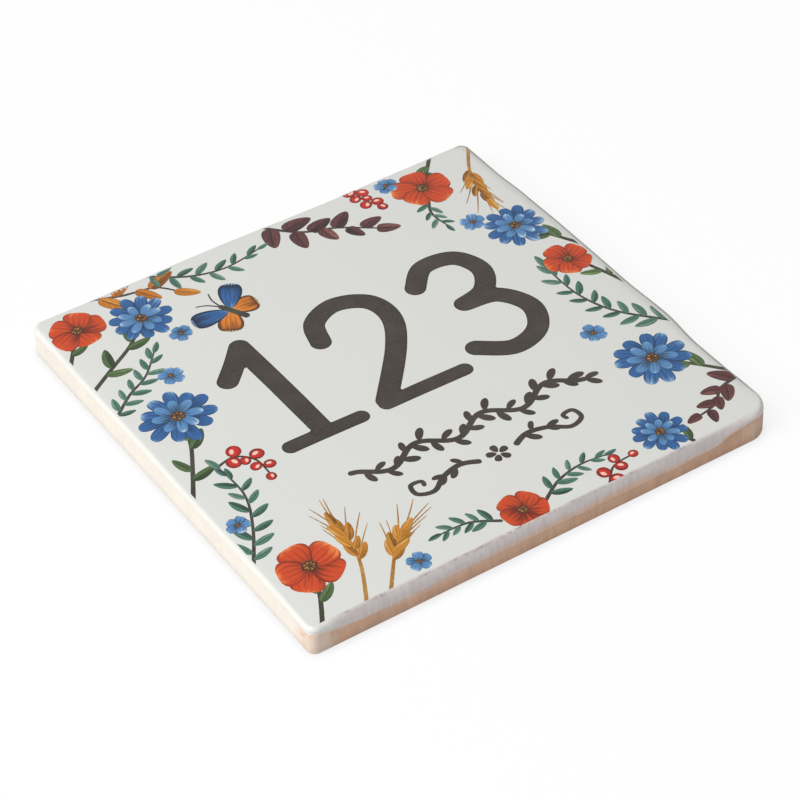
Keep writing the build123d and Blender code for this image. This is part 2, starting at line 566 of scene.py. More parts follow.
def fired_clay_group():
    """Fired clay: smooth and toasted, with fine grain and faint upright press marks. Where it is pale, light
    is painted on it, and painted shade darkens its foot.
    """
    bench = new_bench(
        "Fired clay", "ShaderNodeTree",
        [("Vector", VECTOR), ("Toast", NUMBER), ("Pale", COLOUR), ("Toasted", COLOUR)],
        [("Color", COLOUR), ("Height", NUMBER)])
    place = bench.inputs["Vector"]
    drift = cloud(bench, place, 110.0, detail=3.0) - 0.5
    marks = streaked(bench, place, 700.0, 130.0, detail=3.0, roughness=0.6).ramp(0.25, 0.75) - 0.5
    washes = streaked(bench, place, 210.0, 60.0) - 0.5
    grain = cloud(bench, place, 3800.0, detail=3.0, roughness=0.7)
    specks = cloud(bench, place, 1500.0, detail=1.0).ramp(0.70, 0.78)
    # Painted light: where the toast share is low, on the left side, the pale clay stands in for the key
    # lamp's light
    toast = (bench.inputs["Toast"] + drift * 0.14).ramp(0.55, 1.0)
    body = bench.mix(toast, bench.inputs["Pale"], bench.inputs["Toasted"])

    # Painted shade at the foot, where the clay meets the floor: it darkens toasted clay over a taller stretch
    # than pale clay
    height = bench.split(place)[2]
    foot = height.ramp(0.0, 3.2 * MM, -0.13, 0.0) * toast
    foot += height.ramp(0.3 * MM, 2.2 * MM, -0.12, 0.0) * toast.flipped()

    # The press marks show most on toasted clay, and fade out under the painted light of pale clay
    pressed = (marks * 0.18 + washes * 0.22) * (toast * 0.7 + 0.3)
    shade = pressed + (grain - 0.5) * 0.14 + foot + 1.0
    marked = bench.vector_math("SCALE", body, shade)
    dark = bench.vector_math("MULTIPLY", body, SPECK_TINT)
    bench.plug(bench.result.inputs["Color"], bench.mix(specks * 0.3, marked, dark))
    bench.plug(bench.result.inputs["Height"], grain * 0.5 + marks * 0.3)
    return bench.tree


TILE_ATTRIBUTES = ("glaze_depth", "toast", "inset")
CLAY_ROUGHNESS = 0.86
BUMP_HEIGHT = 0.06 * MM


def tile_material(settings):
    """White glaze over fired clay, thinning out in upright runs at its lower edge."""
    material, bench, shader, place = new_material("glazed_tile")
    depth, toast, inset = (bench.attribute(name) for name in TILE_ATTRIBUTES)

    # The clay flushes in small flecks close to the glaze
    flecks = cloud(bench, place, 520.0).ramp(0.54, 0.70) * depth.ramp(-5.0, 0.0)
    clay = bench.add("ShaderNodeGroup", node_tree=fired_clay_group())
    bench.plug(clay.inputs["Vector"], place)
    bench.plug(clay.inputs["Toast"], toast + flecks * 0.28)
    clay.inputs["Pale"].default_value = settings.clay_pale
    clay.inputs["Toasted"].default_value = settings.clay_toasted

    # The glaze hides the clay over its thinning height, further down where a run is thick
    runs = streaked(bench, place, 420.0, 60.0, detail=3.0, roughness=0.55)
    streaks = streaked(bench, place, 1300.0, 130.0)
    cover = (depth + (runs - 0.5) * 0.5 + (streaks - 0.5) * 0.7).ramp(0.0, 1.0)
    wet = depth.ramp(-0.03, 0.05)

    # It is thick and white on the face, and thin over the toasted clay of the sides. There it is darker and
    # grey-lilac: partly the clay under it, partly painted cool shade.
    cloudy = cloud(bench, place, 240.0, detail=3.0) - 0.5
    inward = inset + cloudy * 0.3
    thick = inward.ramp(0.6, 1.25)
    streaky = (streaks - 0.5) * 0.34 + cloudy * 0.22 + 1.0
    washed = bench.vector_math("SCALE", settings.glaze_thin[:3], streaky)
    thin = bench.mix(toast.ramp(0.78, 0.98), settings.glaze_white, washed)
    white = bench.mix(thick, thin, settings.glaze_white)

    # A faint broken grey line along the front side, where the print's border lies at the edge of the face
    broken = streaked(bench, place, 190.0, 0.0, detail=3.0, roughness=0.65).ramp(0.40, 0.64)
    crumbs = cloud(bench, place, 1100.0, roughness=0.6)
    wander = inward - 0.74 + (crumbs - 0.5) * 0.5
    line = wander.size().ramp(0.06, 0.26, 1.0, 0.0) * crumbs.ramp(0.34, 0.56)
    line = line * broken * toast.ramp(0.93, 1.0)
    white = bench.mix(line * 0.8, white, settings.border_grey)

    # Painted shade on the rim of the right side, where the glaze is thin and the rounding turns away from the
    # key
    # lamp: grey from the back corner to near the front one
    half = settings.side / 2
    across, along = bench.split(place)[:2]
    shaded_right_rim = across.ramp(half - 4.0 * MM, half - 2.0 * MM) * along.ramp(3.0 * MM - half, 10.0 * MM - half)
    rim = inward.ramp(0.75, 1.2, 0.64, 0.0) + inset.ramp(1.3, 2.8, 0.24, 0.0)
    white = bench.mix(shaded_right_rim * rim * inset.ramp(0.0, 0.6, 0.6, 0.9), white, settings.border_grey)

    # Pinholes: a few cells of a coarse pattern hold a small dark dot
    cell = bench.add("ShaderNodeTexVoronoi", {"Vector": place, "Scale": 170.0})
    chosen = bench.split(Field(bench, cell.outputs["Color"]))[0].ramp(0.80, 0.81)
    hole = Field(bench, cell.outputs["Distance"]).ramp(0.016, 0.034, 1.0, 0.0) * chosen
    pitted = bench.mix(hole * 0.45, white, settings.pinhole)
    colour = bench.mix(cover * wet, Field(bench, clay.outputs["Color"]), pitted)
    bench.plug(shader.inputs["Base Color"], colour)

    gloss = uneven_gloss(bench, place, 240.0, 0.20, 0.27)
    bench.plug(shader.inputs["Roughness"], bench.blend(wet, CLAY_ROUGHNESS, gloss))
    peel = cloud(bench, place, 420.0) * 0.12 + hole * -0.5
    height = bench.blend(wet, Field(bench, clay.outputs["Height"]), peel)
    bump = bench.add("ShaderNodeBump", {"Strength": 0.6, "Distance": BUMP_HEIGHT, "Height": height})
    bench.plug(shader.inputs["Normal"], bump.outputs["Normal"])
    return material


# Tile

# Stops of a value that is the same all along a side, which set how fast it swings to the corners' own
PLAIN_STOPS = 6


def clamped(value, low=0.0, high=1.0):
    """A value held between two limits."""
    return min(max(value, low), high)


def eased(share):
    """A share from 0 to 1 that leaves both ends gently."""
    part = clamped(share)
    return part * part * (3 - 2 * part)


def along_stops(stops, share):
    """A value between evenly spread stops, swung smoothly from one to the next."""
    place = clamped(share) * (len(stops) - 1)
    index = min(int(place), len(stops) - 2)
    swing = eased(place - index)
    return stops[index] * (1 - swing) + stops[index + 1] * swing


def from_corner(side, after, label, share):
    """A value along a side: the corner's own at both ends, and the side's evenly spread between them."""
    values = side[label] if isinstance(side[label], tuple) else (side[label],) * PLAIN_STOPS
    return along_stops((side["corner"][label], *values, after["corner"][label]), share)


class Station:
    """One upright line of the tile's side: a point of the clay's outline, the point of the face that it leads
    to, and how the glaze ends there."""

    def __init__(self, point, inner, outward, **glaze):
        self.point = point
        self.inner = inner
        self.outward = outward
        self.wave = glaze["wave"] * MM
        self.run = glaze["run"] * MM
        self.edge = glaze["edge"] * MM
        self.thinning = glaze["thinning"] * MM
        self.lean = glaze["lean"] * MM
        self.rounding = glaze["rounding"] * MM
        self.toast = glaze["toast"]

    def at(self, stand_out, height):
        """A point that stands out of the clay's side at a height."""
        spot = self.point + self.outward * stand_out
        return Vector((spot.x, spot.y, height))


# Corners: the cells of the mesh round half of one, its turn, and how widely the cells spread on the face
CORNER_CELLS = 8
HALF_CORNER = math.radians(45)
CORNER_SPREAD = 0.4

# Face: where its patch of the mesh starts, in from the straight side, and how fast it sinks to its edge
FACE_INSET = 3.0 * MM
EDGE_FALL_REACH = 3.4 * MM


def waver(spot, period, seed):
    """Smooth noise from -1 to 1 over a point, with a period in millimetres."""
    return noise.noise(spot / (period * MM) + UP * seed)


def ragged(spot):
    """How far the visible edge of the glaze strays at a point of the outline, in millimetres."""
    return 0.16 * waver(spot, 2.6, 0.0) + 0.08 * waver(spot, 1.2, 7.3)


def wobble(spot):
    """How much more or less than usual the glaze leans back at a point of the outline, as a share."""
    return 1.0 + 0.45 * waver(spot, 6.5, 2.9)


def stations(settings):
    """The upright lines round the tile, side by side from corner middle to corner middle."""
    half = settings.side / 2
    clay = half - settings.glaze_coat
    face = half - FACE_INSET
    straight_cells = settings.cells - 2 * CORNER_CELLS
    sides = list(SIDES.values())
    found = []
    for number, side in enumerate(sides):
        before = sides[number - 1]
        after = sides[(number + 1) % len(sides)]
        outward = side["outward"]
        along = UP.cross(outward)
        start_radius = side["corner"]["radius"] * MM
        end_radius = after["corner"]["radius"] * MM
        first = start_radius * CORNER_SPREAD - face
        last = face - end_radius * CORNER_SPREAD
        for cell in range(settings.cells):
            share = clamped((cell - CORNER_CELLS) / straight_cells)
            past = (cell - CORNER_CELLS - straight_cells * share) / CORNER_CELLS
            angle = HALF_CORNER * past
            facing = outward * math.cos(angle) + along * math.sin(angle)
            place = (start_radius - half) * (1 - share) + (half - end_radius) * share
            spot = outward * half + along * place
            at_start = share < 0.5
            neighbour_wave = before["wave"][-1] if at_start else after["wave"][0]
            corner_radius = start_radius if at_start else end_radius
            radius = corner_radius - settings.glaze_coat
            wave = along_stops(side["wave"], (place + half) / settings.side)
            inner_place = first * (1 - share) + last * share + past * corner_radius * CORNER_SPREAD
            found.append(Station(
                outward * (clay - radius) + along * place + facing * radius,
                outward * face + along * inner_place,
                facing,
                wave=wave * math.cos(angle) + neighbour_wave * abs(math.sin(angle)),
                run=along_stops((CORNER_RUN, *side["run"], CORNER_RUN), share),
                edge=from_corner(side, after, "edge", share) + ragged(spot),
                thinning=from_corner(side, after, "thinning", share),
                lean=from_corner(side, after, "lean", share) * wobble(spot),
                rounding=from_corner(side, after, "rounding", share),
                toast=from_corner(side, after, "toast", share)))
    return found


def glaze_height(settings, x, y):
    """Height of the glazed face: slow waves, sinking a little towards the edges."""
    spot = Vector((x, y, 0.0))
    wave = settings.undulation * (0.75 * waver(spot, 27.0, 3.7) + 0.25 * waver(spot, 10.0, 9.1))
    inside = settings.side / 2 - max(abs(x), abs(y))
    fall = settings.edge_fall * math.exp(-max(inside, 0.0) / EDGE_FALL_REACH)
    return settings.thickness - settings.print_room - settings.undulation + wave - fall


GROOVE_SOFTNESS = 0.35 * MM


def groove_sink(settings, x, y):
    """How far the back is pressed in at a point, in round-ended grooves with soft walls."""
    reach = settings.side / 2 - settings.glaze_coat - settings.groove_border
    half = settings.groove_width / 2
    spacing = 2 * (reach - half) / (settings.groove_count - 1)
    row = clamped(round((y + reach - half) / spacing), 0, settings.groove_count - 1)
    off_row = y - (row * spacing - reach + half)
    off_end = max(abs(x) - (reach - half), 0.0)
    inside = half - math.hypot(off_row, off_end)
    return settings.groove_depth * eased((inside + GROOVE_SOFTNESS) / (2 * GROOVE_SOFTNESS))


# Shares of the glaze band's height: where it stands out in full, and where it starts to lean back
COAT_FULL_AT = 0.5
LEAN_FROM = 0.3

# Lip at the lower edge of the glaze: how far it stands out, as a share, at its rises in millimetres
LIP_CURVE = ((0.0, 0.0), (0.5, 0.03), (0.85, 0.1), (1.0, 0.22))
LIP_RISE = LIP_CURVE[-1][1] * MM
GAP_BELOW_LIP = 0.08 * MM
LEAST_BAND = 0.1 * MM

# Steps of the mesh up a side: round the back's edge, up the clay, up the glaze and round the face's edge,
# and the shares of the way from there to the face's patch
BACK_STEPS = 3
CLAY_STEPS = 4
BAND_STEPS = 7
EDGE_STEPS = 9
FACE_SHARES = (0.3, 1.0)
QUARTER_TURN = math.radians(90)


def side_rows(settings, station):
    """The points up one station, from the back's edge to the face, each with its depth of glaze and how far
    in on the face it lies, in millimetres."""
    back = settings.back_rounding
    coat = settings.glaze_coat + station.wave
    rounding = station.rounding
    lip = min(settings.glaze_lip, coat)
    edge = station.at(coat - station.lean - rounding, 0.0)
    crown = glaze_height(settings, edge.x, edge.y)
    lower = settings.thickness - station.run
    lip_top = lower + LIP_RISE
    band = crown - 0.5 * rounding - lip_top
    tilt = math.atan2(2 * station.lean, (1 - LEAN_FROM) * band)
    shoulder = max(crown - rounding * (1 - math.sin(tilt)), lip_top + LEAST_BAND)
    rows = []
    for step in range(BACK_STEPS + 1):
        angle = QUARTER_TURN * step / BACK_STEPS
        rows.append((-back * (1 - math.sin(angle)), back * (1 - math.cos(angle))))
    clay_rise = lower - GAP_BELOW_LIP - back
    rows += [(0.0, back + clay_rise * step / CLAY_STEPS) for step in range(1, CLAY_STEPS + 1)]
    rows += [(part * lip, lower + rise * MM) for part, rise in LIP_CURVE]
    insets = [0.0] * len(rows)
    for step in range(1, BAND_STEPS + 1):
        part = step / BAND_STEPS
        swelling = eased(part / COAT_FULL_AT)
        inset = station.lean * max((part - LEAN_FROM) / (1 - LEAN_FROM), 0.0) ** 2
        rows.append((lip + (coat - lip) * swelling - inset, lip_top + (shoulder - lip_top) * part))
        insets.append(inset)
    for step in range(1, EDGE_STEPS + 1):
        angle = tilt + (QUARTER_TURN - tilt) * step / EDGE_STEPS
        inset = station.lean + rounding * (math.cos(tilt) - math.cos(angle))
        rise = (math.sin(angle) - math.sin(tilt)) / (1 - math.sin(tilt))
        rows.append((coat - inset, shoulder + (crown - shoulder) * rise))
        insets.append(inset)
    points = [station.at(*row) for row in rows]
    rim = points[-1]
    rim_inset = insets[-1]
    for share in FACE_SHARES:
        spot = rim * (1 - share) + station.inner * share
        points.append(Vector((spot.x, spot.y, glaze_height(settings, spot.x, spot.y))))
        insets.append(rim_inset * (1 - share) + FACE_INSET * share)
    bare = settings.thickness - station.edge
    return [
        (point, (point.z - bare + inset) / station.thinning, inset / MM)
        for point, inset in zip(points, insets)]


# Shares of a patch from its border inwards: where its rows start to straighten, and where they are straight
SKEWED_UNTIL = 0.035
STRAIGHT_FROM = 0.085


def patch_points(loop, cells):
    """Points of a square patch whose border is a closed loop of four sides, in straight rows away from it."""
    bottom = loop[:cells + 1]
    right = loop[cells:2 * cells + 1]
    top = loop[2 * cells:3 * cells + 1][::-1]
    left = [*loop[3 * cells:], loop[0]][::-1]
    inner = {}
    for row in range(1, cells):
        v = row / cells
        for column in range(1, cells):
            u = column / cells
            across = left[row] * (1 - u) + right[row] * u
            upward = bottom[column] * (1 - v) + top[column] * v
            corners = (bottom[0] * (1 - u) + bottom[-1] * u) * (1 - v) + (top[0] * (1 - u) + top[-1] * u) * v
            skewed = across + upward - corners
            straight = Vector((
                (bottom[column].x + top[column].x) / 2, (left[row].y + right[row].y) / 2, skewed.z))
            inward = (min(u, 1 - u, v, 1 - v) - SKEWED_UNTIL) / (STRAIGHT_FROM - SKEWED_UNTIL)
            inner[column, row] = skewed.lerp(straight, eased(inward))
    return inner


# Depths of glaze well inside the face and on the bare back, and the toast of the back
FACE_DEPTH = 10.0
BARE_DEPTH = -10.0
BACK_TOAST = 0.35


def tile_mesh(settings):
    """The whole tile as one closed mesh, with its depth of glaze, its toast and its inset at every point."""
    ring = stations(settings)
    count = len(ring)
    cells = settings.cells
    columns = [side_rows(settings, station) for station in ring]
    row_count = len(columns[0])
    points, depths, toast_and_light_values, insets, faces = [], [], [], [], []
    for row in range(row_count):
        for station, column in zip(ring, columns):
            point, depth, inset = column[row]
            points.append(point)
            depths.append(depth)
            toast_and_light_values.append(station.toast)
            insets.append(inset)
    for row in range(row_count - 1):
        for spot in range(count):
            here, there = row * count + spot, row * count + (spot + 1) % count
            faces.append((here, there, there + count, here + count))

    def cover(first, height, depth, toast, upward):
        """Closes the loop of points from first on with a patch at a height."""
        inner = patch_points(points[first:first + count], cells)
        numbers = {}
        for spot in range(cells):
            numbers[spot, 0] = first + spot
            numbers[cells, spot] = first + cells + spot
            numbers[cells - spot, cells] = first + 2 * cells + spot
            numbers[0, cells - spot] = first + 3 * cells + spot
        for (column, row), point in inner.items():
            numbers[column, row] = len(points)
            points.append(Vector((point.x, point.y, height(settings, point.x, point.y))))
            depths.append(depth)
            toast_and_light_values.append(toast)
            insets.append(FACE_INSET / MM)
        for row in range(cells):
            for column in range(cells):
                face = (
                    numbers[column, row], numbers[column + 1, row],
                    numbers[column + 1, row + 1], numbers[column, row + 1])
                faces.append(face if upward else face[::-1])

    cover((row_count - 1) * count, glaze_height, FACE_DEPTH, 0.0, upward=True)
    cover(0, groove_sink, BARE_DEPTH, BACK_TOAST, upward=False)
    mesh = bpy.data.meshes.new("glazed_tile_body")
    mesh.from_pydata(points, [], faces)
    for name, values in zip(TILE_ATTRIBUTES, (depths, toast_and_light_values, insets)):
        mesh.attributes.new(name, "FLOAT", "POINT").data.foreach_set("value", values)
    mesh.shade_smooth()
    mesh.update()
    return mesh


def place_piece(name, mesh, material=None):
    """Puts a finished mesh in the scene as a piece that rides with the plaque."""
    mesh.name = name
    piece = bpy.data.objects.new(name, mesh)
    bpy.context.scene.collection.objects.link(piece)
    if material:
        mesh.materials.append(material)
    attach(piece, BODY)
    return piece


class PLAQUE_OT_build_tile(bpy.types.Operator):
    """Build the fired tile with its glaze"""

    bl_idname = "plaque.build_tile"
    bl_label = "Build Tile"

    def execute(self, context):
        settings = context.scene.plaque_tile
        piece = place_piece("glazed_tile_body", tile_mesh(settings), tile_material(settings))
        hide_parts("tile")
        return {"FINISHED"}


# Paint

PRINT_SHEEN = 0.3

# Shares of the light of a paint's body that its shade and its lines keep
SHADE_SHARE = 0.27
LINE_SHARE = 0.13

# How far apart two blades of unlike tone lie in the noise that brushes them
TONE_SPREAD = 40.0


def paint_group(name, build):
    """A shader group that paints one blade from its own map: base to tip, and side to side."""
    bench = new_bench(
        name, "ShaderNodeTree",
        [("Shade", COLOUR), ("Body", COLOUR), ("Light", COLOUR), ("Line", COLOUR),
         ("Lines", NUMBER), ("Line Strength", NUMBER)],
        [("Color", COLOUR)])
    along, side = bench.split(bench.field("ShaderNodeUVMap", uv_map="UVMap"))[:2]
    bench.plug(bench.result.inputs["Color"], build(bench, along, side, bench.attribute("tone")))
    return bench.tree


def centred(share):
    """A share from 0 to 1, as a value from -1 to 1."""
    return (share - 0.5) * 2.0


def brushed(bench, along, side, tone, detail=3.0):
    """Brush marks from 0 to 1. The blade's two ways come scaled, and each tone has marks of its own."""
    return cloud(bench, bench.vector(along, side, tone * TONE_SPREAD), 1.0, detail)


def painted(bench, level, lit_from=0.72):
    """The three paints of a blade, laid by a level from shade to light."""
    paints = bench.inputs
    body = bench.mix(level.ramp(0.10, 0.55), paints["Shade"], paints["Body"])
    return bench.mix(level.ramp(lit_from, lit_from + 0.38), body, paints["Light"])


def leaf_paint(bench, along, side, tone):
    """A leaf: one half lighter, with a midrib, side veins and a darker rim."""
    off_middle = centred(side).size()
    brush = brushed(bench, along * 2.5, side * 7.0, tone)
    half = side.ramp(0.44, 0.56)
    level = along * 0.25 + (brush - 0.5) * 0.8 + half * 0.28 + tone * 0.45 + 0.05
    body = painted(bench, level)
    chevron = (along * bench.inputs["Lines"] - off_middle * 1.5).calc("FRACT") - 0.5
    veins = chevron.size().ramp(0.05, 0.16, 1.0, 0.0) * off_middle.ramp(0.9, 0.6)
    midrib = off_middle.ramp(0.06, 0.16, 1.0, 0.0)
    lines = midrib.calc("MAXIMUM", veins * 0.55) * bench.inputs["Line Strength"]
    veined = bench.mix(lines, body, bench.inputs["Line"])
    return bench.mix(off_middle.ramp(0.72, 1.0) * 0.55, veined, bench.inputs["Shade"])


def petal_paint(bench, along, side, tone):
    """A petal: dark at its base, brushed lighter towards its tip, with fine lines along it."""
    off_middle = centred(side).size()
    brush = brushed(bench, along * 1.6, side * 9.0, tone)
    level = along * 0.95 + (brush - 0.5) * 0.9 + (tone - 0.5) * 0.35
    body = painted(bench, level)
    wave = (side * bench.inputs["Lines"] + brush * 0.6).calc("FRACT") - 0.5
    lines = wave.size().ramp(0.05, 0.20, 1.0, 0.0) * along.ramp(0.95, 0.25, 0.0, 1.0)
    lined = bench.mix(lines * bench.inputs["Line Strength"], body, bench.inputs["Line"])
    rim = off_middle.ramp(0.70, 0.98) * along.ramp(0.2, 0.5)
    return bench.mix(rim * 0.6, lined, bench.inputs["Shade"])


def berry_paint(bench, along, side, tone):
    """A round berry: shaded at its rim, with a small bright light off its middle."""
    across = centred(side)
    down = centred(along)
    off_middle = (across * across + down * down) ** 0.5
    brush = brushed(bench, along * 3.0, side * 3.0, tone, detail=2.0)
    level = off_middle * -0.7 + (brush - 0.5) * 0.4 + (tone - 0.5) * 0.2 + 0.85
    body = bench.mix(level.ramp(0.05, 0.6), bench.inputs["Shade"], bench.inputs["Body"])
    off_across = across - 0.25
    off_down = down + 0.05
    off_light = (off_across * off_across + off_down * off_down) ** 0.5
    return bench.mix(off_light.ramp(0.22, 0.36, 0.9, 0.0), body, bench.inputs["Light"])


def wing_paint(bench, along, side, tone):
    """A wing: a dark rim and veins over a bright field, with pale dots along the rim."""
    off_middle = centred(side).size()
    brush = brushed(bench, along * 3.0, side * 6.0, tone)
    body = painted(bench, along.flipped() * 0.9 + (brush - 0.5) * 0.7, 0.62)
    wave = (side * bench.inputs["Lines"]).calc("FRACT") - 0.5
    veins = wave.size().ramp(0.03, 0.13, 1.0, 0.0) * bench.inputs["Line Strength"]
    rim = along.ramp(0.70, 0.82).calc("MAXIMUM", off_middle.ramp(0.74, 0.90))
    rimmed = bench.mix(rim.calc("MAXIMUM", veins), body, bench.inputs["Line"])
    dots = wave.size().ramp(0.22, 0.34) * (along - 0.885).size().ramp(0.030, 0.055, 1.0, 0.0)
    return bench.mix(dots, rimmed, bench.inputs["Light"])


def darker(colour, share):
    """A colour brought down to a share of its light."""
    return (*(part * share for part in colour[:3]), 1.0)


def paint_material(name, group, body, light, lines=6.0, strength=0.6):
    """A glossy paint under the glaze, from one of the paint groups, its body colour and its light."""
    material, bench, shader, place = new_material(name)
    node = bench.add("ShaderNodeGroup", node_tree=group)
    node.inputs["Shade"].default_value = darker(body, SHADE_SHARE)
    node.inputs["Body"].default_value = body
    node.inputs["Light"].default_value = light
    node.inputs["Line"].default_value = darker(body, LINE_SHARE)
    node.inputs["Lines"].default_value = lines
    node.inputs["Line Strength"].default_value = strength
    shader.inputs["Specular IOR Level"].default_value = PRINT_SHEEN
    bench.plug(shader.inputs["Base Color"], node.outputs["Color"])
    bench.plug(shader.inputs["Roughness"], uneven_gloss(bench, place, 240.0, 0.22, 0.30))
    return material


def brush_material(name, dark, light, speckle):
    """A brushed line: two tones of one paint, broken by fine dots."""
    material, bench, shader, place = new_material(name)
    dots = cloud(bench, place, 2600.0, roughness=0.7).ramp(0.50, 0.68) * speckle
    drift = cloud(bench, place, 160.0).ramp(0.35, 0.75) * 0.35
    worn = bench.mix(dots.calc("MAXIMUM", drift), dark, light)
    rim = bench.attribute("rim") * 0.6
    bench.plug(shader.inputs["Base Color"], bench.mix(rim, worn, darker(dark, 0.5)))
    shader.inputs["Specular IOR Level"].default_value = PRINT_SHEEN
    bench.plug(shader.inputs["Roughness"], uneven_gloss(bench, place, 300.0, 0.24, 0.33))
    return material


# Geometry trees for the paint

GEOMETRY = "NodeSocketGeometry"
OBJECT = "NodeSocketObject"
MATERIAL = "NodeSocketMaterial"
COUNT = "NodeSocketInt"

# Inputs that every tree has: what it needs to lay its paint on the glaze, and to finish it
LAYING = [("Glaze", OBJECT), ("Lift", NUMBER), ("Film", NUMBER), ("Low", VECTOR), ("High", VECTOR)]
FINISHING = [*LAYING, ("Material", MATERIAL)]

# Rays look for the glaze from this height down
CEILING = 20 * MM

# How close points are joined: where the film's top and underside meet, and at the ends of a blade
FILM_WELD = 0.00002 * MM
BLADE_WELD = 0.0001 * MM

# The film is shaded sharp at an edge that folds by more than this angle
SHARP_FOLD = 0.6


def shared(name, maker, *values):
    """A node group that is used more than once, made on its first use."""
    return bpy.data.node_groups.get(name) or maker(name, *values)


def mapped_sheet(bench, width, height, points_along, points_across):
    """A flat grid with its own map."""
    sheet = bench.add("GeometryNodeMeshGrid", {
        "Size X": width, "Size Y": height, "Vertices X": points_along, "Vertices Y": points_across})
    mapping = Field(bench, sheet.outputs["UV Map"])
    return bench.store(sheet.outputs["Mesh"], "UVMap", mapping, "FLOAT2", "CORNER")


def lay_group(name):
    """Cuts flat paint to the printed field, lays it on the glaze and gives it its thickness."""
    bench = new_bench(name, "GeometryNodeTree", [("Paint", GEOMETRY), *LAYING], [("Mesh", GEOMETRY)])
    x, y = bench.split(bench.position())[:2]
    low_x, low_y = bench.split(bench.inputs["Low"])[:2]
    high_x, high_y = bench.split(bench.inputs["High"])[:2]
    cut_x = x.calc("MINIMUM", high_x).calc("MAXIMUM", low_x)
    cut_y = y.calc("MINIMUM", high_y).calc("MAXIMUM", low_y)
    outside = ((x - cut_x).size() + (y - cut_y).size()).calc("GREATER_THAN", 0.0)
    kept = bench.drop_faces(bench.inputs["Paint"], outside)
    glaze = bench.add("GeometryNodeObjectInfo", {"Object": bench.inputs["Glaze"]})
    ray = bench.add("GeometryNodeRaycast", {
        "Target Geometry": glaze.outputs["Geometry"],
        "Source Position": bench.vector(cut_x, cut_y, CEILING),
        "Ray Direction": (0.0, 0.0, -1.0),
        "Ray Length": CEILING})
    level = bench.split(Field(bench, ray.outputs["Hit Position"]))[2]
    film = bench.inputs["Film"]
    under = level + bench.inputs["Lift"] + bench.read("blade_lift") - film
    laid = bench.field(
        "GeometryNodeSetPosition", {"Geometry": kept, "Position": bench.vector(cut_x, cut_y, under)})
    raised = bench.field(
        "GeometryNodeExtrudeMesh",
        {"Mesh": laid, "Offset": bench.vector(0.0, 0.0, film), "Individual": False})
    underside = bench.field("GeometryNodeFlipFaces", {"Mesh": laid})
    joined = bench.add("GeometryNodeJoinGeometry")
    bench.plug(joined.inputs["Geometry"], raised)
    bench.plug(joined.inputs["Geometry"], underside)
    closed = bench.field(
        "GeometryNodeMergeByDistance", {"Geometry": joined.outputs["Geometry"], "Distance": FILM_WELD})
    smooth = bench.field(
        "GeometryNodeSetShadeSmooth", {"Geometry": closed, "Shade Smooth": True}, domain="FACE")
    fold = bench.field("GeometryNodeInputMeshEdgeAngle", output="Unsigned Angle")
    edged = bench.field(
        "GeometryNodeSetShadeSmooth",
        {"Geometry": smooth, "Selection": fold.calc("GREATER_THAN", SHARP_FOLD), "Shade Smooth": False},
        domain="EDGE")
    plain = bench.field(
        "GeometryNodeRemoveAttribute", {"Geometry": edged, "Name": "blade_*"}, pattern_mode="WILDCARD")
    bench.plug(bench.result.inputs["Mesh"], plain)
    return bench.tree


# Points of a blade's own sheet, along it and across it
POINTS_ALONG_BLADE = 13
POINTS_ACROSS_BLADE = 5


def blade_group(name):
    """Turns points into leaves, petals, grains or dots, shaped by each point's own attributes."""
    bench = new_bench(name, "GeometryNodeTree", [("Points", GEOMETRY)], [("Mesh", GEOMETRY)])
    points = bench.store(bench.inputs["Points"], "blade_root", bench.position(), "FLOAT_VECTOR")
    sheet = mapped_sheet(bench, 1.0, 1.0, POINTS_ALONG_BLADE, POINTS_ACROSS_BLADE)
    x, y = bench.split(bench.position())[:2]
    marked = bench.store(sheet, "blade_along", x + 0.5)
    marked = bench.store(marked, "blade_across", y * 2.0)
    copies = bench.field("GeometryNodeInstanceOnPoints", {"Points": points, "Instance": marked})
    flat = bench.field("GeometryNodeRealizeInstances", {"Geometry": copies})
    along = bench.read("blade_along")
    length = bench.read("blade_length")
    reach = ((along * math.pi).cosine() * -0.5) + 0.5
    swell = ((along ** bench.read("blade_peak")) * math.pi).sine().calc("MAXIMUM", 0.0)
    half = bench.read("blade_width") * 0.5 * (swell ** bench.read("blade_fullness"))
    bow = bench.read("blade_bend") * length * reach * reach
    shape = bench.vector(reach * length, bench.read("blade_across") * half + bow, 0.0)
    turned = bench.field(
        "ShaderNodeVectorRotate", {"Vector": shape, "Angle": bench.read("blade_turn")},
        rotation_type="Z_AXIS")
    placed = bench.vector_math("ADD", bench.read("blade_root", "FLOAT_VECTOR"), turned)
    shaped = bench.field("GeometryNodeSetPosition", {"Geometry": flat, "Position": placed})
    welded = bench.field("GeometryNodeMergeByDistance", {"Geometry": shaped, "Distance": BLADE_WELD})
    bench.plug(bench.result.inputs["Mesh"], welded)
    return bench.tree


# Blades that overlap lie on levels of their own, a step apart
BLADE_STEP = 0.0011 * MM
BLADE_LEVELS = 12.0

# The step between the random draws for the tones of two blades
TONE_STEP = 1.37


def two_chances(bench, number):
    """Two fixed random values from 0 to 1 for each number, other ones for another seed."""
    seed = bench.inputs["Seed"]
    return bench.chance(number + seed * 17.0), bench.chance(number + seed * 31.0 + 0.5)


def shape_blades(bench, points, number, **shape):
    """Writes the attributes that the blades read, with a tone and a level for each of them."""
    points = bench.store(points, "tone", bench.chance(number * TONE_STEP + bench.inputs["Seed"]))
    points = bench.store(points, "blade_lift", number.calc("FLOORED_MODULO", BLADE_LEVELS) * BLADE_STEP)
    for name, value in shape.items():
        points = bench.store(points, f"blade_{name}", value)
    return points


def finish_blades(bench, points, shift):
    """Ends a tree: moves its points, turns them into blades and lays those on the glaze."""
    moved = bench.field("GeometryNodeSetPosition", {"Geometry": points, "Offset": shift})
    blades = shared("Painted blades", blade_group)
    return finish_tree(bench, bench.field("GeometryNodeGroup", {"Points": moved}, node_tree=blades))


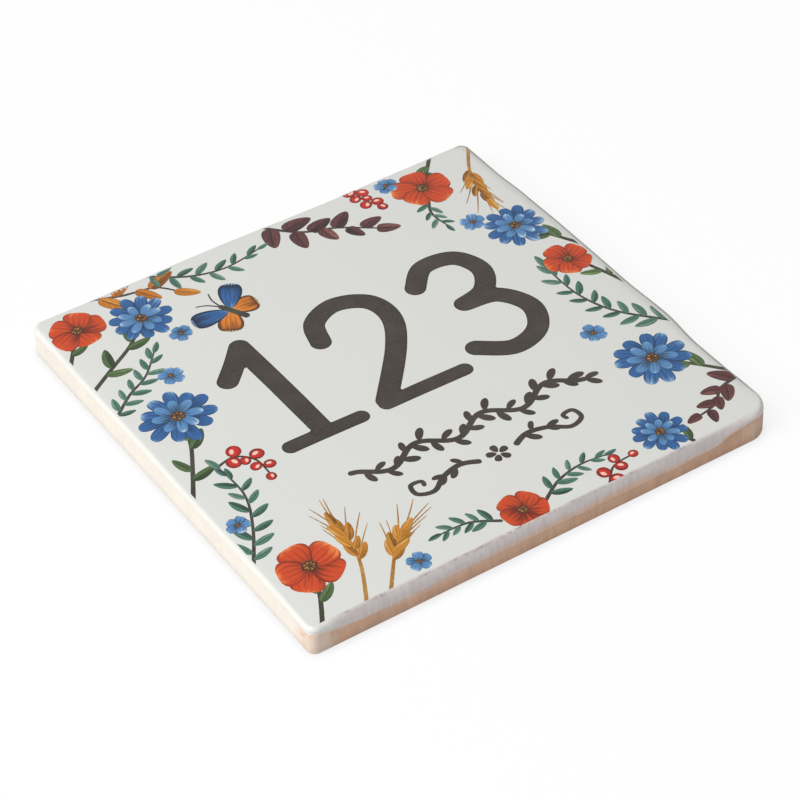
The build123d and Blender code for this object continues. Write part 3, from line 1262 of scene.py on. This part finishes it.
def finish_tree(bench, flat_paint):
    """Ends a tree: lays its flat paint on the glaze, as a real mesh with its material."""
    sockets = {label: bench.inputs[label] for label, *rest in LAYING}
    lay = shared("Lay on glaze", lay_group)
    laid = bench.field("GeometryNodeGroup", {"Paint": flat_paint, **sockets}, node_tree=lay)
    real = bench.field("GeometryNodeRealizeInstances", {"Geometry": laid})
    done = bench.field("GeometryNodeSetMaterial", {"Geometry": real, "Material": bench.inputs["Material"]})
    bench.plug(bench.result.inputs["Mesh"], done)
    return bench.tree


def smooth_curve(bench, chains):
    """Chains of points as smooth curves through them."""
    curve = bench.field("GeometryNodeMeshToCurve", {"Mesh": chains})
    return bench.field("GeometryNodeCurveSplineType", {"Curve": curve}, spline_type="CATMULL_ROM")


def spray_tree(name):
    """Pairs of leaves, grains or berries along stems."""
    bench = new_bench(
        name, "GeometryNodeTree",
        [("Stems", GEOMETRY), ("Angle", NUMBER), ("Slimness", NUMBER), ("Fullness", NUMBER), ("Peak", NUMBER),
         ("Bend", NUMBER), ("Start", NUMBER), ("Tip", NUMBER), ("Stagger", NUMBER), ("Jitter", NUMBER),
         ("Closing", NUMBER, 0.05), ("Seed", COUNT), *FINISHING],
        [("Mesh", GEOMETRY)])
    given = bench.inputs
    curve = smooth_curve(bench, given["Stems"])
    curve = bench.field(
        "GeometryNodeResampleCurve", {"Curve": curve, "Count": bench.read("blade_leaf_pairs")},
        mode="COUNT")
    along = bench.field("GeometryNodeSplineParameter", output="Factor")
    tangent_x, tangent_y = bench.split(bench.field("GeometryNodeInputTangent"))[:2]
    curve = bench.store(curve, "blade_share", along)
    curve = bench.store(curve, "blade_heading", tangent_y.calc("ARCTAN2", tangent_x))
    points = bench.field("GeometryNodeCurveToPoints", {"Curve": curve}, mode="EVALUATED")
    share = bench.read("blade_share")
    points = bench.drop_points(points, share.calc("LESS_THAN", given["Start"]))
    twins = bench.add("GeometryNodeDuplicateElements", {"Geometry": points, "Amount": 2}, domain="POINT")
    side = Field(bench, twins.outputs["Duplicate Index"]) * 2.0 - 1.0
    points = bench.store(Field(bench, twins.outputs["Geometry"]), "blade_side", side)

    # Where the leaves close up, the last pair is a single leaf at the end of the stem
    side = bench.read("blade_side")
    single = share.calc("GREATER_THAN", 0.98) * side.calc("GREATER_THAN", 0.0)
    single *= given["Closing"].calc("LESS_THAN", 0.3)
    points = bench.drop_points(points, single)

    number = bench.field("GeometryNodeInputIndex")
    heading = bench.read("blade_heading")
    first, second = two_chances(bench, number)
    length = bench.read("blade_leaf_length") * ((given["Tip"] - 1.0) * share + 1.0) * (first * 0.3 + 0.85)
    closing = bench.blend(share.ramp(0.72, 1.0), 1.0, given["Closing"])
    turn = heading + side * given["Angle"] * closing + (second - 0.5) * given["Jitter"]
    ending = share.ramp(0.85, 1.0)
    slide = (side * given["Stagger"] * ending.flipped() - ending * 0.15) * bench.read("blade_leaf_length")
    shift = bench.vector(heading.cosine() * slide, heading.sine() * slide, 0.0)
    points = shape_blades(
        bench, points, number,
        turn=turn, length=length, width=length * given["Slimness"], fullness=given["Fullness"],
        peak=given["Peak"], bend=side * given["Bend"])
    return finish_blades(bench, points, shift)


def ring_tree(name):
    """Rings or fans of petals, wings or dots round flower middles."""
    bench = new_bench(
        name, "GeometryNodeTree",
        [("Middles", GEOMETRY), ("Petals", COUNT), ("Spread", NUMBER), ("Inner", NUMBER), ("Reach", NUMBER),
         ("Width", NUMBER), ("Fullness", NUMBER), ("Peak", NUMBER), ("Bend", NUMBER), ("Jitter", NUMBER),
         ("Seed", COUNT), *FINISHING],
        [("Mesh", GEOMETRY)])
    given = bench.inputs
    copies = bench.add(
        "GeometryNodeDuplicateElements", {"Geometry": given["Middles"], "Amount": given["Petals"]},
        domain="POINT")
    petal = Field(bench, copies.outputs["Duplicate Index"])
    points = bench.store(Field(bench, copies.outputs["Geometry"]), "blade_petal", petal)
    petal = bench.read("blade_petal")
    number = bench.field("GeometryNodeInputIndex")
    first, second = two_chances(bench, number)
    radius = bench.read("blade_bloom_radius")
    place = (petal + 0.5) / given["Petals"] - 0.5
    turn = bench.read("blade_bloom_turn") + given["Spread"] * place + (first - 0.5) * given["Jitter"]
    start = radius * given["Inner"]
    shift = bench.vector(turn.cosine() * start, turn.sine() * start, 0.0)
    points = shape_blades(
        bench, points, number,
        turn=turn, length=radius * given["Reach"] * (second * 0.2 + 0.9), width=radius * given["Width"],
        fullness=given["Fullness"], peak=given["Peak"], bend=given["Bend"])
    return finish_blades(bench, points, shift)


# The least share of its width that a brush line keeps at its ends, and the points across it
LEAST_CAP = 0.04
POINTS_ACROSS = 4


def even_steps(bench, curve, step):
    """A curve with its points a step apart."""
    return bench.field("GeometryNodeResampleCurve", {"Curve": curve, "Length": step}, mode="LENGTH")


def stroke_tree(name):
    """Brush strokes along curves, with round ends."""
    bench = new_bench(
        name, "GeometryNodeTree",
        [("Lines", GEOMETRY), ("Step", NUMBER), *FINISHING], [("Mesh", GEOMETRY)])
    curve = even_steps(bench, smooth_curve(bench, bench.inputs["Lines"]), bench.inputs["Step"])
    spline = bench.add("GeometryNodeSplineParameter")
    along = Field(bench, spline.outputs["Factor"])
    passed = Field(bench, spline.outputs["Length"])
    total = bench.field("GeometryNodeSplineLength", output="Length")
    half = bench.read("blade_stroke_width") * 0.5
    short_of_full = (passed.calc("MINIMUM", total - passed) / half).calc("MINIMUM", 1.0).flipped()
    cap = (short_of_full * short_of_full).flipped().calc("SQRT").calc("MAXIMUM", LEAST_CAP)
    slimming = (along * bench.read("blade_stroke_taper")).flipped()
    curve = bench.store(curve, "blade_along", along)
    curve = bench.store(curve, "blade_half", half * cap * slimming)
    brush = bench.field(
        "GeometryNodeCurvePrimitiveLine", {"Start": (-1.0, 0.0, 0.0), "End": (1.0, 0.0, 0.0)}, mode="POINTS")
    brush = bench.field("GeometryNodeResampleCurve", {"Curve": brush, "Count": POINTS_ACROSS}, mode="COUNT")
    brush = bench.store(brush, "blade_side", bench.field("GeometryNodeSplineParameter", output="Factor"))
    ribbon = bench.field(
        "GeometryNodeCurveToMesh",
        {"Curve": curve, "Profile Curve": brush, "Scale": bench.read("blade_half")})
    mapping = bench.vector(bench.read("blade_along"), bench.read("blade_side"), 0.0)
    mapped = bench.store(ribbon, "UVMap", mapping, "FLOAT2", "CORNER")
    return finish_tree(bench, mapped)


# How far in from a figure's edge its paint is darker
DARK_EDGE = 0.5 * MM


def number_tree(name):
    """Broad round strokes with no overlaps: a fine sheet cut to a distance from the strokes' middles."""
    bench = new_bench(
        name, "GeometryNodeTree",
        [("Lines", GEOMETRY), ("Stroke", NUMBER), ("Foot", NUMBER), ("Cell", NUMBER), ("Width", NUMBER),
         ("Height", NUMBER), ("Middle", VECTOR), ("Unevenness", NUMBER), *FINISHING],
        [("Mesh", GEOMETRY)])
    given = bench.inputs
    cell = given["Cell"]
    sheet = mapped_sheet(
        bench, given["Width"], given["Height"], given["Width"] / cell, given["Height"] / cell)
    moved = bench.field("GeometryNodeSetPosition", {"Geometry": sheet, "Offset": given["Middle"]})

    # Every point of the sheet finds the nearest stroke and the nearest foot, and keeps to the one that it is
    # deeper in
    is_foot = bench.read("blade_foot").calc("GREATER_THAN", 0.5)
    found = []
    for unwanted, breadth in ((is_foot, given["Stroke"]), (is_foot.flipped(), given["Foot"])):
        own = bench.drop_points(given["Lines"], unwanted)
        curve = even_steps(bench, smooth_curve(bench, own), cell)
        near = bench.add("GeometryNodeProximity", {
            "Geometry": bench.field("GeometryNodeCurveToMesh", {"Curve": curve}),
            "Sample Position": bench.position()}, target_element="EDGES")
        nearest = Field(bench, near.outputs["Position"])
        sway = cloud(bench, nearest, 60.0, detail=1.0) - 0.5
        reach = breadth * 0.5 * (sway * given["Unevenness"] + 1.0)
        found.append((Field(bench, near.outputs["Distance"]) - reach, reach, nearest))
    (past, reach, nearest), (foot_past, foot_reach, foot_nearest) = found
    in_foot = foot_past.calc("LESS_THAN", past)
    moved = bench.store(moved, "blade_past", past.calc("MINIMUM", foot_past))
    moved = bench.store(moved, "blade_reach", bench.blend(in_foot, reach, foot_reach))
    chosen = bench.field(
        "GeometryNodeSwitch", {"Switch": in_foot, "False": nearest, "True": foot_nearest},
        input_type="VECTOR")
    moved = bench.store(moved, "blade_nearest", chosen, "FLOAT_VECTOR")

    # The faces past the edge go, and the points that are left outside are brought back to it
    past = bench.read("blade_past")
    moved = bench.store(moved, "rim", past.ramp(-DARK_EDGE, 0.0))
    outside = past.calc("GREATER_THAN", 0.0)
    kept = bench.drop_faces(moved, outside)
    nearest = bench.read("blade_nearest", "FLOAT_VECTOR")
    away = bench.vector_math("SUBTRACT", bench.position(), nearest)
    away = bench.field("ShaderNodeVectorMath", {0: away}, operation="NORMALIZE")
    away = bench.vector_math("SCALE", away, bench.read("blade_reach"))
    edge = bench.vector_math("ADD", nearest, away)
    trimmed = bench.field(
        "GeometryNodeSetPosition", {"Geometry": kept, "Selection": outside, "Position": edge})
    return finish_tree(bench, trimmed)


def chain_mesh(name, chains):
    """A mesh of chains of points. Each chain has its points in millimetres and its attributes."""
    points, edges, values = [], [], {}
    for chain, attributes in chains:
        first = len(points)
        points += [(spot[0] * MM, spot[1] * MM, 0.0) for spot in chain]
        edges += [(index, index + 1) for index in range(first, len(points) - 1)]
        for label, value in attributes.items():
            values.setdefault(label, []).extend([value] * len(chain))
    mesh = bpy.data.meshes.new(name)
    mesh.from_pydata(points, edges, [])
    for label, numbers in values.items():
        mesh.attributes.new(label, "FLOAT", "POINT").data.foreach_set("value", numbers)
    return mesh


def grow(tree, source, values):
    """Runs a tree on a source mesh and gives its result as a plain mesh."""
    holder = bpy.data.objects.new(source.name, source)
    modifier = holder.modifiers.new(tree.name, "NODES")
    modifier.node_group = tree
    identifiers = {item.name: item.identifier for item in tree.interface.items_tree if item.in_out == "INPUT"}
    for label, value in values.items():
        modifier[identifiers[label]] = value
    bpy.context.scene.collection.objects.link(holder)
    graph = bpy.context.evaluated_depsgraph_get()
    mesh = bpy.data.meshes.new_from_object(holder.evaluated_get(graph), depsgraph=graph)
    holder.modifiers.remove(modifier)
    bpy.data.objects.remove(holder)
    bpy.data.meshes.remove(source)
    return mesh


def paint_piece(context, name, maker, source, material, lift, **values):
    """Grows one painted piece and lays it on the glaze at a lift in millimetres."""
    settings = context.scene.plaque_print
    labels = {label.capitalize(): value for label, value in values.items()}
    tree = shared(maker.__name__, maker)
    mesh = grow(tree, source, {
        "Glaze": bpy.data.objects["glazed_tile_body"], "Material": material, "Lift": lift * MM,
        "Film": settings.film, "Low": tuple(settings.low), "High": tuple(settings.high), **labels})
    if not mesh.polygons:
        raise RuntimeError(f"{name} came out empty")
    place_piece(name, mesh)


def paint_strokes(context, name, strokes, material, lift, step):
    """Paints brush lines, with points a step in millimetres apart."""
    paint_piece(context, name, stroke_tree, chain_mesh(name, strokes), material, lift, step=step * MM)


def paint_sprays(context, name, sprays, material, lift, angle, **values):
    """Paints pairs of leaves, grains or berries along some stems, at an angle to them in degrees."""
    stems = [
        (points, {"blade_leaf_pairs": float(pairs), "blade_leaf_length": length * MM})
        for points, pairs, length in sprays]
    paint_piece(
        context, name, spray_tree, chain_mesh(name, stems), material, lift,
        angle=math.radians(angle), **values)


def paint_blooms(context, name, blooms, material, lift, spread=360, **values):
    """Paints petals, wings or dots round the middles of some flowers, over a spread in degrees."""
    middles = [
        (((x, y),), {"blade_bloom_radius": radius * MM, "blade_bloom_turn": math.radians(turn)})
        for x, y, radius, turn in blooms]
    paint_piece(
        context, name, ring_tree, chain_mesh(name, middles), material, lift,
        spread=math.radians(spread), **values)


def brush_line(points, width, taper):
    """A chain of points as a brush line of a width in millimetres, slimmer at its end by the taper."""
    return points, {"blade_stroke_width": width * MM, "blade_stroke_taper": taper}


def stem_lines(sprays, width, taper):
    """The stems of some sprays, as brush lines."""
    return [brush_line(points, width, taper) for points, pairs, length in sprays]


def vine_points():
    """The wavy vine of the flourish, from left to right."""
    steps = round(VINE_WAVES * VINE_STEPS)
    shares = [2 * step / steps - 1 for step in range(steps + 1)]
    turn = math.pi * VINE_WAVES
    return [
        (FLOURISH_MIDDLE + VINE_HALF * share, VINE_LEVEL + VINE_SWING * math.sin(turn * share))
        for share in shares]


def curl_points():
    """The two curls of the flourish, one the mirror of the other."""
    return [
        [(FLOURISH_MIDDLE + side * reach, CURL_LEVEL + rise) for reach, rise in CURL]
        for side in (-1, 1)]


def butterfly_lines():
    """The body and the feelers of each butterfly, as brush lines."""
    lines = []
    for x, y, radius, turn in BUTTERFLIES:
        ahead = Vector((math.cos(math.radians(turn)), math.sin(math.radians(turn)), 0.0))
        beside = UP.cross(ahead)
        middle = Vector((x, y, 0.0))
        body = [middle + ahead * radius * reach for reach in BUTTERFLY_BODY]
        lines.append(brush_line(body, width=1.4, taper=0.2))
        for side in (-1, 1):
            feeler = [
                middle + ahead * radius * reach + beside * side * radius * spread
                for reach, spread in BUTTERFLY_FEELER]
            lines.append(brush_line(feeler, width=0.32, taper=0.2))
    return lines


class PLAQUE_OT_write_number(bpy.types.Operator):
    """Write the number with a broad round brush"""

    bl_idname = "plaque.write_number"
    bl_label = "Write Number"

    def execute(self, context):
        settings = context.scene.plaque_print
        strokes = [(stroke, {"blade_foot": 0.0}) for stroke in NUMBER_STROKES]
        feet = [(foot, {"blade_foot": 1.0}) for foot in NUMBER_FEET]
        lines = chain_mesh("number", strokes + feet)
        ink = brush_material("charcoal", settings.charcoal, settings.charcoal_worn, speckle=0.45)
        paint_piece(
            context, "number", number_tree, lines, ink, lift=0.02,
            stroke=settings.number_stroke, foot=settings.number_foot, cell=0.25 * MM, width=68 * MM,
            height=40 * MM, middle=(1.0 * MM, 6.0 * MM, 0.0), unevenness=0.08)
        return {"FINISHED"}


class PLAQUE_OT_draw_flourish(bpy.types.Operator):
    """Draw the vine and the curls below the number"""

    bl_idname = "plaque.draw_flourish"
    bl_label = "Draw Flourish"

    def execute(self, context):
        settings = context.scene.plaque_print
        ink = brush_material("flourish", settings.charcoal, settings.charcoal_worn, speckle=0.45)
        vine = vine_points()
        curls = curl_points()
        lines = [brush_line(vine, width=1.2, taper=0.0)]
        lines += [brush_line(curl, width=1.25, taper=0.3) for curl in curls]
        paint_strokes(context, "flourish_lines", lines, ink, lift=0.016, step=0.2)
        leaves = [(vine, VINE_LEAF_PAIRS, VINE_LEAF)]
        leaves += [(curl[:CURL_LEAFY_POINTS], CURL_LEAF_PAIRS, CURL_LEAF) for curl in curls]
        paint_sprays(
            context, "flourish_leaves", leaves, ink, lift=0.018, angle=58, slimness=0.44, fullness=1.1,
            peak=1.2, bend=-0.1, start=0.02, tip=1.0, stagger=0.3, jitter=0.15, closing=0.55, seed=41)
        paint_blooms(
            context, "flourish_star", FLOURISH_STARS, ink, lift=0.018, petals=5, inner=0.16, reach=0.84,
            width=0.62, fullness=0.9, peak=1.3, bend=0.0, jitter=0.0, seed=42)
        return {"FINISHED"}


class PLAQUE_OT_paint_leaves(bpy.types.Operator):
    """Paint the stems and their leaves"""

    bl_idname = "plaque.paint_leaves"
    bl_label = "Paint Leaves"

    def execute(self, context):
        settings = context.scene.plaque_print
        bark = brush_material("stem", settings.stem_dark, settings.stem_light, speckle=0.5)
        stems = stem_lines(GREEN_SPRAYS, width=0.75, taper=0.55)
        stems += stem_lines(FLOWER_STALKS, width=0.9, taper=0.2)
        stems += stem_lines(PLUM_TWIGS + OCHRE_TWIGS, width=0.85, taper=0.5)
        stems += stem_lines(CURRANT_STRINGS, width=0.6, taper=0.4)
        paint_strokes(context, "stems", stems, bark, lift=0.006, step=0.3)

        leaf = shared("Painted leaf", paint_group, leaf_paint)
        teal = paint_material("teal_leaf", leaf, settings.teal, settings.teal_light, lines=5.0, strength=0.7)
        paint_sprays(
            context, "spray_leaves", GREEN_SPRAYS, teal, lift=0.012, angle=56, slimness=0.36, fullness=1.35,
            peak=0.95, bend=-0.12, start=0.06, tip=0.72, stagger=0.14, jitter=0.3, seed=3)
        green = paint_material(
            "green_leaf", leaf, settings.green, settings.green_light, lines=6.0, strength=0.7)
        paint_sprays(
            context, "stalk_leaves", FLOWER_STALKS, green, lift=0.010, angle=48, slimness=0.40, fullness=1.15,
            peak=0.85, bend=-0.16, start=0.05, tip=0.9, stagger=0.22, jitter=0.5, seed=4)
        plum = paint_material("plum_leaf", leaf, settings.plum, settings.plum_light, lines=4.0, strength=0.8)
        paint_sprays(
            context, "plum_leaves", PLUM_TWIGS, plum, lift=0.014, angle=60, slimness=0.60, fullness=1.05,
            peak=0.72, bend=-0.14, start=0.15, tip=0.7, stagger=0.24, jitter=0.5, seed=5)
        ochre = paint_material(
            "ochre_leaf", leaf, settings.ochre, settings.ochre_light, lines=7.0, strength=0.7)
        paint_sprays(
            context, "ochre_leaves", OCHRE_TWIGS, ochre, lift=0.013, angle=50, slimness=0.46, fullness=1.1,
            peak=0.8, bend=-0.12, start=0.1, tip=0.85, stagger=0.22, jitter=0.4, seed=6)
        return {"FINISHED"}


class PLAQUE_OT_paint_wheat(bpy.types.Operator):
    """Paint the ears of wheat with their stalks and awns"""

    bl_idname = "plaque.paint_wheat"
    bl_label = "Paint Wheat"

    def execute(self, context):
        settings = context.scene.plaque_print
        straw = brush_material("straw", settings.straw, settings.wheat_light, speckle=0.6)
        stalks = stem_lines(WHEAT_EARS, width=0.8, taper=0.4)
        paint_strokes(context, "wheat_stalks", stalks, straw, lift=0.008, step=0.3)
        awns = [(points, pairs, length * AWN_LENGTH) for points, pairs, length in WHEAT_EARS]
        paint_sprays(
            context, "wheat_awns", awns, straw, lift=0.012, angle=21, slimness=0.03, fullness=0.6,
            peak=0.7, bend=0.06, start=0.45, tip=0.9, stagger=0.03, jitter=0.12, seed=8)
        leaf = shared("Painted leaf", paint_group, leaf_paint)
        grain = paint_material(
            "wheat_grain", leaf, settings.wheat, settings.wheat_light, lines=3.0, strength=0.5)
        paint_sprays(
            context, "wheat_grains", WHEAT_EARS, grain, lift=0.018, angle=30, slimness=0.40, fullness=1.15,
            peak=0.85, bend=-0.05, start=0.45, tip=0.85, stagger=0.10, jitter=0.12, seed=9)
        return {"FINISHED"}


class PLAQUE_OT_paint_flowers(bpy.types.Operator):
    """Paint the blue daisies, the poppies and the small stars"""

    bl_idname = "plaque.paint_flowers"
    bl_label = "Paint Flowers"

    def execute(self, context):
        settings = context.scene.plaque_print
        petal = shared("Painted petal", paint_group, petal_paint)
        berry = shared("Painted berry", paint_group, berry_paint)
        blue = paint_material(
            "blue_petal", petal, settings.blue, settings.blue_light, lines=3.0, strength=0.7)
        pale_blue = paint_material(
            "pale_blue_petal", petal, settings.pale_blue, settings.pale_blue_light, lines=3.0, strength=0.6)
        heart = paint_material("flower_heart", berry, settings.heart, settings.heart_light)
        paint_blooms(
            context, "daisy_outer_petals", BLUE_DAISIES, blue, lift=0.028, petals=11, inner=0.16, reach=0.84,
            width=0.40, fullness=0.9, peak=1.35, bend=0.04, jitter=0.14, seed=11)
        paint_blooms(
            context, "daisy_inner_petals", BLUE_DAISIES, pale_blue, lift=0.043, petals=8, inner=0.10,
            reach=0.54, width=0.30, fullness=0.95, peak=1.3, bend=-0.05, jitter=0.2, seed=12)
        paint_blooms(
            context, "daisy_hearts", BLUE_DAISIES, heart, lift=0.056, petals=7, inner=0.02, reach=0.17,
            width=0.16, fullness=1.0, peak=1.0, bend=0.0, jitter=0.3, seed=13)
        orange = paint_material(
            "poppy_petal", petal, settings.orange, settings.orange_light, lines=5.0, strength=0.6)
        paint_blooms(
            context, "poppy_petals", POPPIES, orange, lift=0.026, petals=5, inner=0.04, reach=0.98,
            width=1.02, fullness=0.75, peak=1.45, bend=0.05, jitter=0.25, seed=14)
        paint_blooms(
            context, "poppy_hearts", POPPIES, heart, lift=0.044, petals=8, inner=-0.02, reach=0.26,
            width=0.15, fullness=1.0, peak=1.3, bend=0.0, jitter=0.3, seed=15)
        paint_blooms(
            context, "star_petals", SMALL_STARS, pale_blue, lift=0.030, petals=5, inner=0.08, reach=0.92,
            width=0.86, fullness=0.8, peak=1.3, bend=0.0, jitter=0.2, seed=16)
        paint_blooms(
            context, "star_hearts", SMALL_STARS, heart, lift=0.046, petals=4, inner=-0.04, reach=0.30,
            width=0.26, fullness=1.0, peak=1.0, bend=0.0, jitter=0.3, seed=17)
        return {"FINISHED"}


class PLAQUE_OT_paint_berries(bpy.types.Operator):
    """Paint the strings of red currants"""

    bl_idname = "plaque.paint_berries"
    bl_label = "Paint Berries"

    def execute(self, context):
        settings = context.scene.plaque_print
        berry = shared("Painted berry", paint_group, berry_paint)
        red = paint_material("currant", berry, settings.red, settings.red_light)
        paint_sprays(
            context, "currants", CURRANT_STRINGS, red, lift=0.032, angle=64, slimness=0.94, fullness=1.0,
            peak=1.0, bend=0.0, start=0.2, tip=0.8, stagger=0.2, jitter=0.3, seed=21)
        return {"FINISHED"}


class PLAQUE_OT_paint_butterfly(bpy.types.Operator):
    """Paint the butterfly"""

    bl_idname = "plaque.paint_butterfly"
    bl_label = "Paint Butterfly"

    def execute(self, context):
        settings = context.scene.plaque_print
        wing = shared("Painted wing", paint_group, wing_paint)
        amber = paint_material(
            "amber_wing", wing, settings.amber, settings.amber_light, lines=5.0, strength=0.8)
        paint_blooms(
            context, "lower_wings", BUTTERFLIES, amber, lift=0.018, spread=LOWER_WING_SPREAD, petals=2,
            inner=0.05, reach=0.78, width=0.66, fullness=0.75, peak=1.35, bend=0.0, jitter=0.0, seed=31)
        blue = paint_material("blue_wing", wing, settings.blue, settings.blue_light, lines=5.0, strength=0.8)
        paint_blooms(
            context, "upper_wings", BUTTERFLIES, blue, lift=0.024, spread=UPPER_WING_SPREAD, petals=2,
            inner=0.05, reach=1.0, width=0.62, fullness=0.8, peak=1.5, bend=0.0, jitter=0.0, seed=32)
        ink = brush_material("butterfly_body", settings.stem_dark, settings.stem_light, speckle=0.5)
        paint_strokes(context, "butterfly_body", butterfly_lines(), ink, lift=0.042, step=0.2)
        return {"FINISHED"}


# Stage

def backdrop_share(bench):
    """One for the rays that show the backdrop itself: straight from the camera, mirrored or through glass."""
    path = bench.add("ShaderNodeLightPath")
    shown = Field(bench, path.outputs["Is Camera Ray"])
    shown = shown.calc("MAXIMUM", path.outputs["Is Glossy Ray"])
    return shown.calc("MAXIMUM", path.outputs["Is Transmission Ray"])


# Floor: the share of glow in what is seen of it, how near the plaque its painted contact shadow reaches, the
# grey of that shadow, and the tone that its light takes on the way back to the plaque
FLOOR_GLOW = 0.88
CONTACT_REACH = 2.4 * MM
CONTACT_SHADOW_GREY = (0.89, 0.89, 0.90, 1.0)
FLOOR_PALE = (0.75, 0.75, 0.75, 1.0)
WHITE = (1.0, 1.0, 1.0, 1.0)


def floor_material():
    """A white floor that keeps a faint shadow, with a painted contact shadow where something rests on it."""
    material = bpy.data.materials.new("white_floor")
    material.use_nodes = True
    bench = Bench(material.node_tree)
    nodes = material.node_tree.nodes
    nodes.remove(nodes["Principled BSDF"])
    shown = backdrop_share(bench)
    cloth = bench.add("ShaderNodeBsdfDiffuse", {"Color": bench.mix(shown, FLOOR_PALE, WHITE)})
    # Painted contact shadow: the glow is darker where the plaque hides the open sky near it
    open_share = bench.field(
        "ShaderNodeAmbientOcclusion", {"Distance": CONTACT_REACH}, output="AO", samples=16)
    shade = bench.mix(open_share.ramp(0.45, 1.0), CONTACT_SHADOW_GREY, WHITE)
    glow = bench.add("ShaderNodeEmission", {"Color": shade, "Strength": 1.0})
    mixed = bench.add("ShaderNodeMixShader", {"Fac": shown * FLOOR_GLOW})
    bench.plug(mixed.inputs[1], cloth.outputs["BSDF"])
    bench.plug(mixed.inputs[2], glow.outputs["Emission"])
    bench.plug(nodes["Material Output"].inputs["Surface"], mixed.outputs["Shader"])
    return material


def studio_world(level):
    """Even pale light from all round, shown as white."""
    world = bpy.data.worlds.new("studio_sky")
    world.use_nodes = True
    bench = Bench(world.node_tree)
    nodes = world.node_tree.nodes
    sky = nodes["Background"]
    sky.inputs["Color"].default_value = WHITE
    bench.plug(sky.inputs["Strength"], bench.blend(backdrop_share(bench), level, 1.0))
    return world


def camera_turn(settings):
    """The camera's axes as a turn: to its right, up and back towards it."""
    azimuth, elevation, roll = settings.azimuth, settings.elevation, settings.roll
    back = Vector((
        math.sin(azimuth) * math.cos(elevation),
        -math.cos(azimuth) * math.cos(elevation),
        math.sin(elevation)))
    level = Vector((math.cos(azimuth), math.sin(azimuth), 0.0))
    upright = back.cross(level)
    right = level * math.cos(roll) + upright * math.sin(roll)
    up = upright * math.cos(roll) - level * math.sin(roll)
    return Matrix((right, up, back)).transposed()


def soft_lamp(name, power, side, towards, distance):
    """A square area lamp that looks at the plaque from one direction."""
    lamp = bpy.data.lights.new(name, "AREA")
    lamp.shape = "SQUARE"
    lamp.size = side
    lamp.energy = power
    holder = bpy.data.objects.new(name, lamp)
    direction = Vector(towards).normalized()
    holder.location = direction * distance
    holder.rotation_euler = direction.to_track_quat("Z", "Y").to_euler()
    bpy.context.scene.collection.objects.link(holder)


# Key lamp: its side, the way to it from the plaque, and how far off it is
KEY_SIDE = 0.8
KEY_TOWARDS = (-0.74, -0.08, 0.67)
KEY_DISTANCE = 1.2

# Camera: from how near it sees
CLIP_START = 0.01


class PLAQUE_OT_build_stage(bpy.types.Operator):
    """Build the floor, the light and the camera"""

    bl_idname = "plaque.build_stage"
    bl_label = "Build Stage"

    def execute(self, context):
        scene = context.scene
        settings = scene.plaque_stage
        half = settings.floor_side / 2
        corners = [(x * half, y * half, 0.0) for x, y in ((-1, -1), (1, -1), (1, 1), (-1, 1))]
        mesh = bpy.data.meshes.new("floor")
        mesh.from_pydata(corners, [], [(0, 1, 2, 3)])
        mesh.materials.append(floor_material())
        floor = bpy.data.objects.new("floor", mesh)
        scene.collection.objects.link(floor)

        scene.world = studio_world(settings.sky)
        soft_lamp("key_lamp", settings.key_power, KEY_SIDE, KEY_TOWARDS, KEY_DISTANCE)

        lens = bpy.data.cameras.new("camera")
        lens.lens = settings.lens
        lens.clip_start = CLIP_START
        camera = bpy.data.objects.new("camera", lens)
        turn = camera_turn(settings)
        place = Vector(settings.aim) + turn.col[2] * settings.distance
        camera.matrix_world = Matrix.Translation(place) @ turn.to_4x4()
        scene.collection.objects.link(camera)
        scene.camera = camera
        scene.view_settings.view_transform = "Standard"
        return {"FINISHED"}


class PLAQUE_PT_sidebar(bpy.types.Panel):
    """Lists the operators that build the plaque"""

    bl_idname = "PLAQUE_PT_sidebar"
    bl_label = "House Number Plaque"
    bl_space_type = "VIEW_3D"
    bl_region_type = "UI"
    bl_category = "Plaque"

    def draw(self, context):
        for operator in OPERATORS:
            self.layout.operator(operator.bl_idname)


OPERATORS = (
    PLAQUE_OT_build_tile,
    PLAQUE_OT_write_number,
    PLAQUE_OT_draw_flourish,
    PLAQUE_OT_paint_leaves,
    PLAQUE_OT_paint_wheat,
    PLAQUE_OT_paint_flowers,
    PLAQUE_OT_paint_berries,
    PLAQUE_OT_paint_butterfly,
    PLAQUE_OT_build_stage,
)
SETTINGS = {
    "plaque_tile": TileSettings,
    "plaque_print": PrintSettings,
    "plaque_stage": StageSettings,
}
CLASSES = (*SETTINGS.values(), *OPERATORS, PLAQUE_PT_sidebar)


def register():
    for cls in CLASSES:
        bpy.utils.register_class(cls)
    for name, settings in SETTINGS.items():
        setattr(bpy.types.Scene, name, bpy.props.PointerProperty(type=settings))


def unregister():
    for name in SETTINGS:
        delattr(bpy.types.Scene, name)
    for cls in reversed(CLASSES):
        bpy.utils.unregister_class(cls)


def main():
    """Registers the classes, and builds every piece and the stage."""
    register()
    bpy.ops.plaque.build_tile()
    bpy.ops.plaque.write_number()
    bpy.ops.plaque.draw_flourish()
    bpy.ops.plaque.paint_leaves()
    bpy.ops.plaque.paint_wheat()
    bpy.ops.plaque.paint_flowers()
    bpy.ops.plaque.paint_berries()
    bpy.ops.plaque.paint_butterfly()
    bpy.ops.plaque.build_stage()


if __name__ == "__main__":
    main()
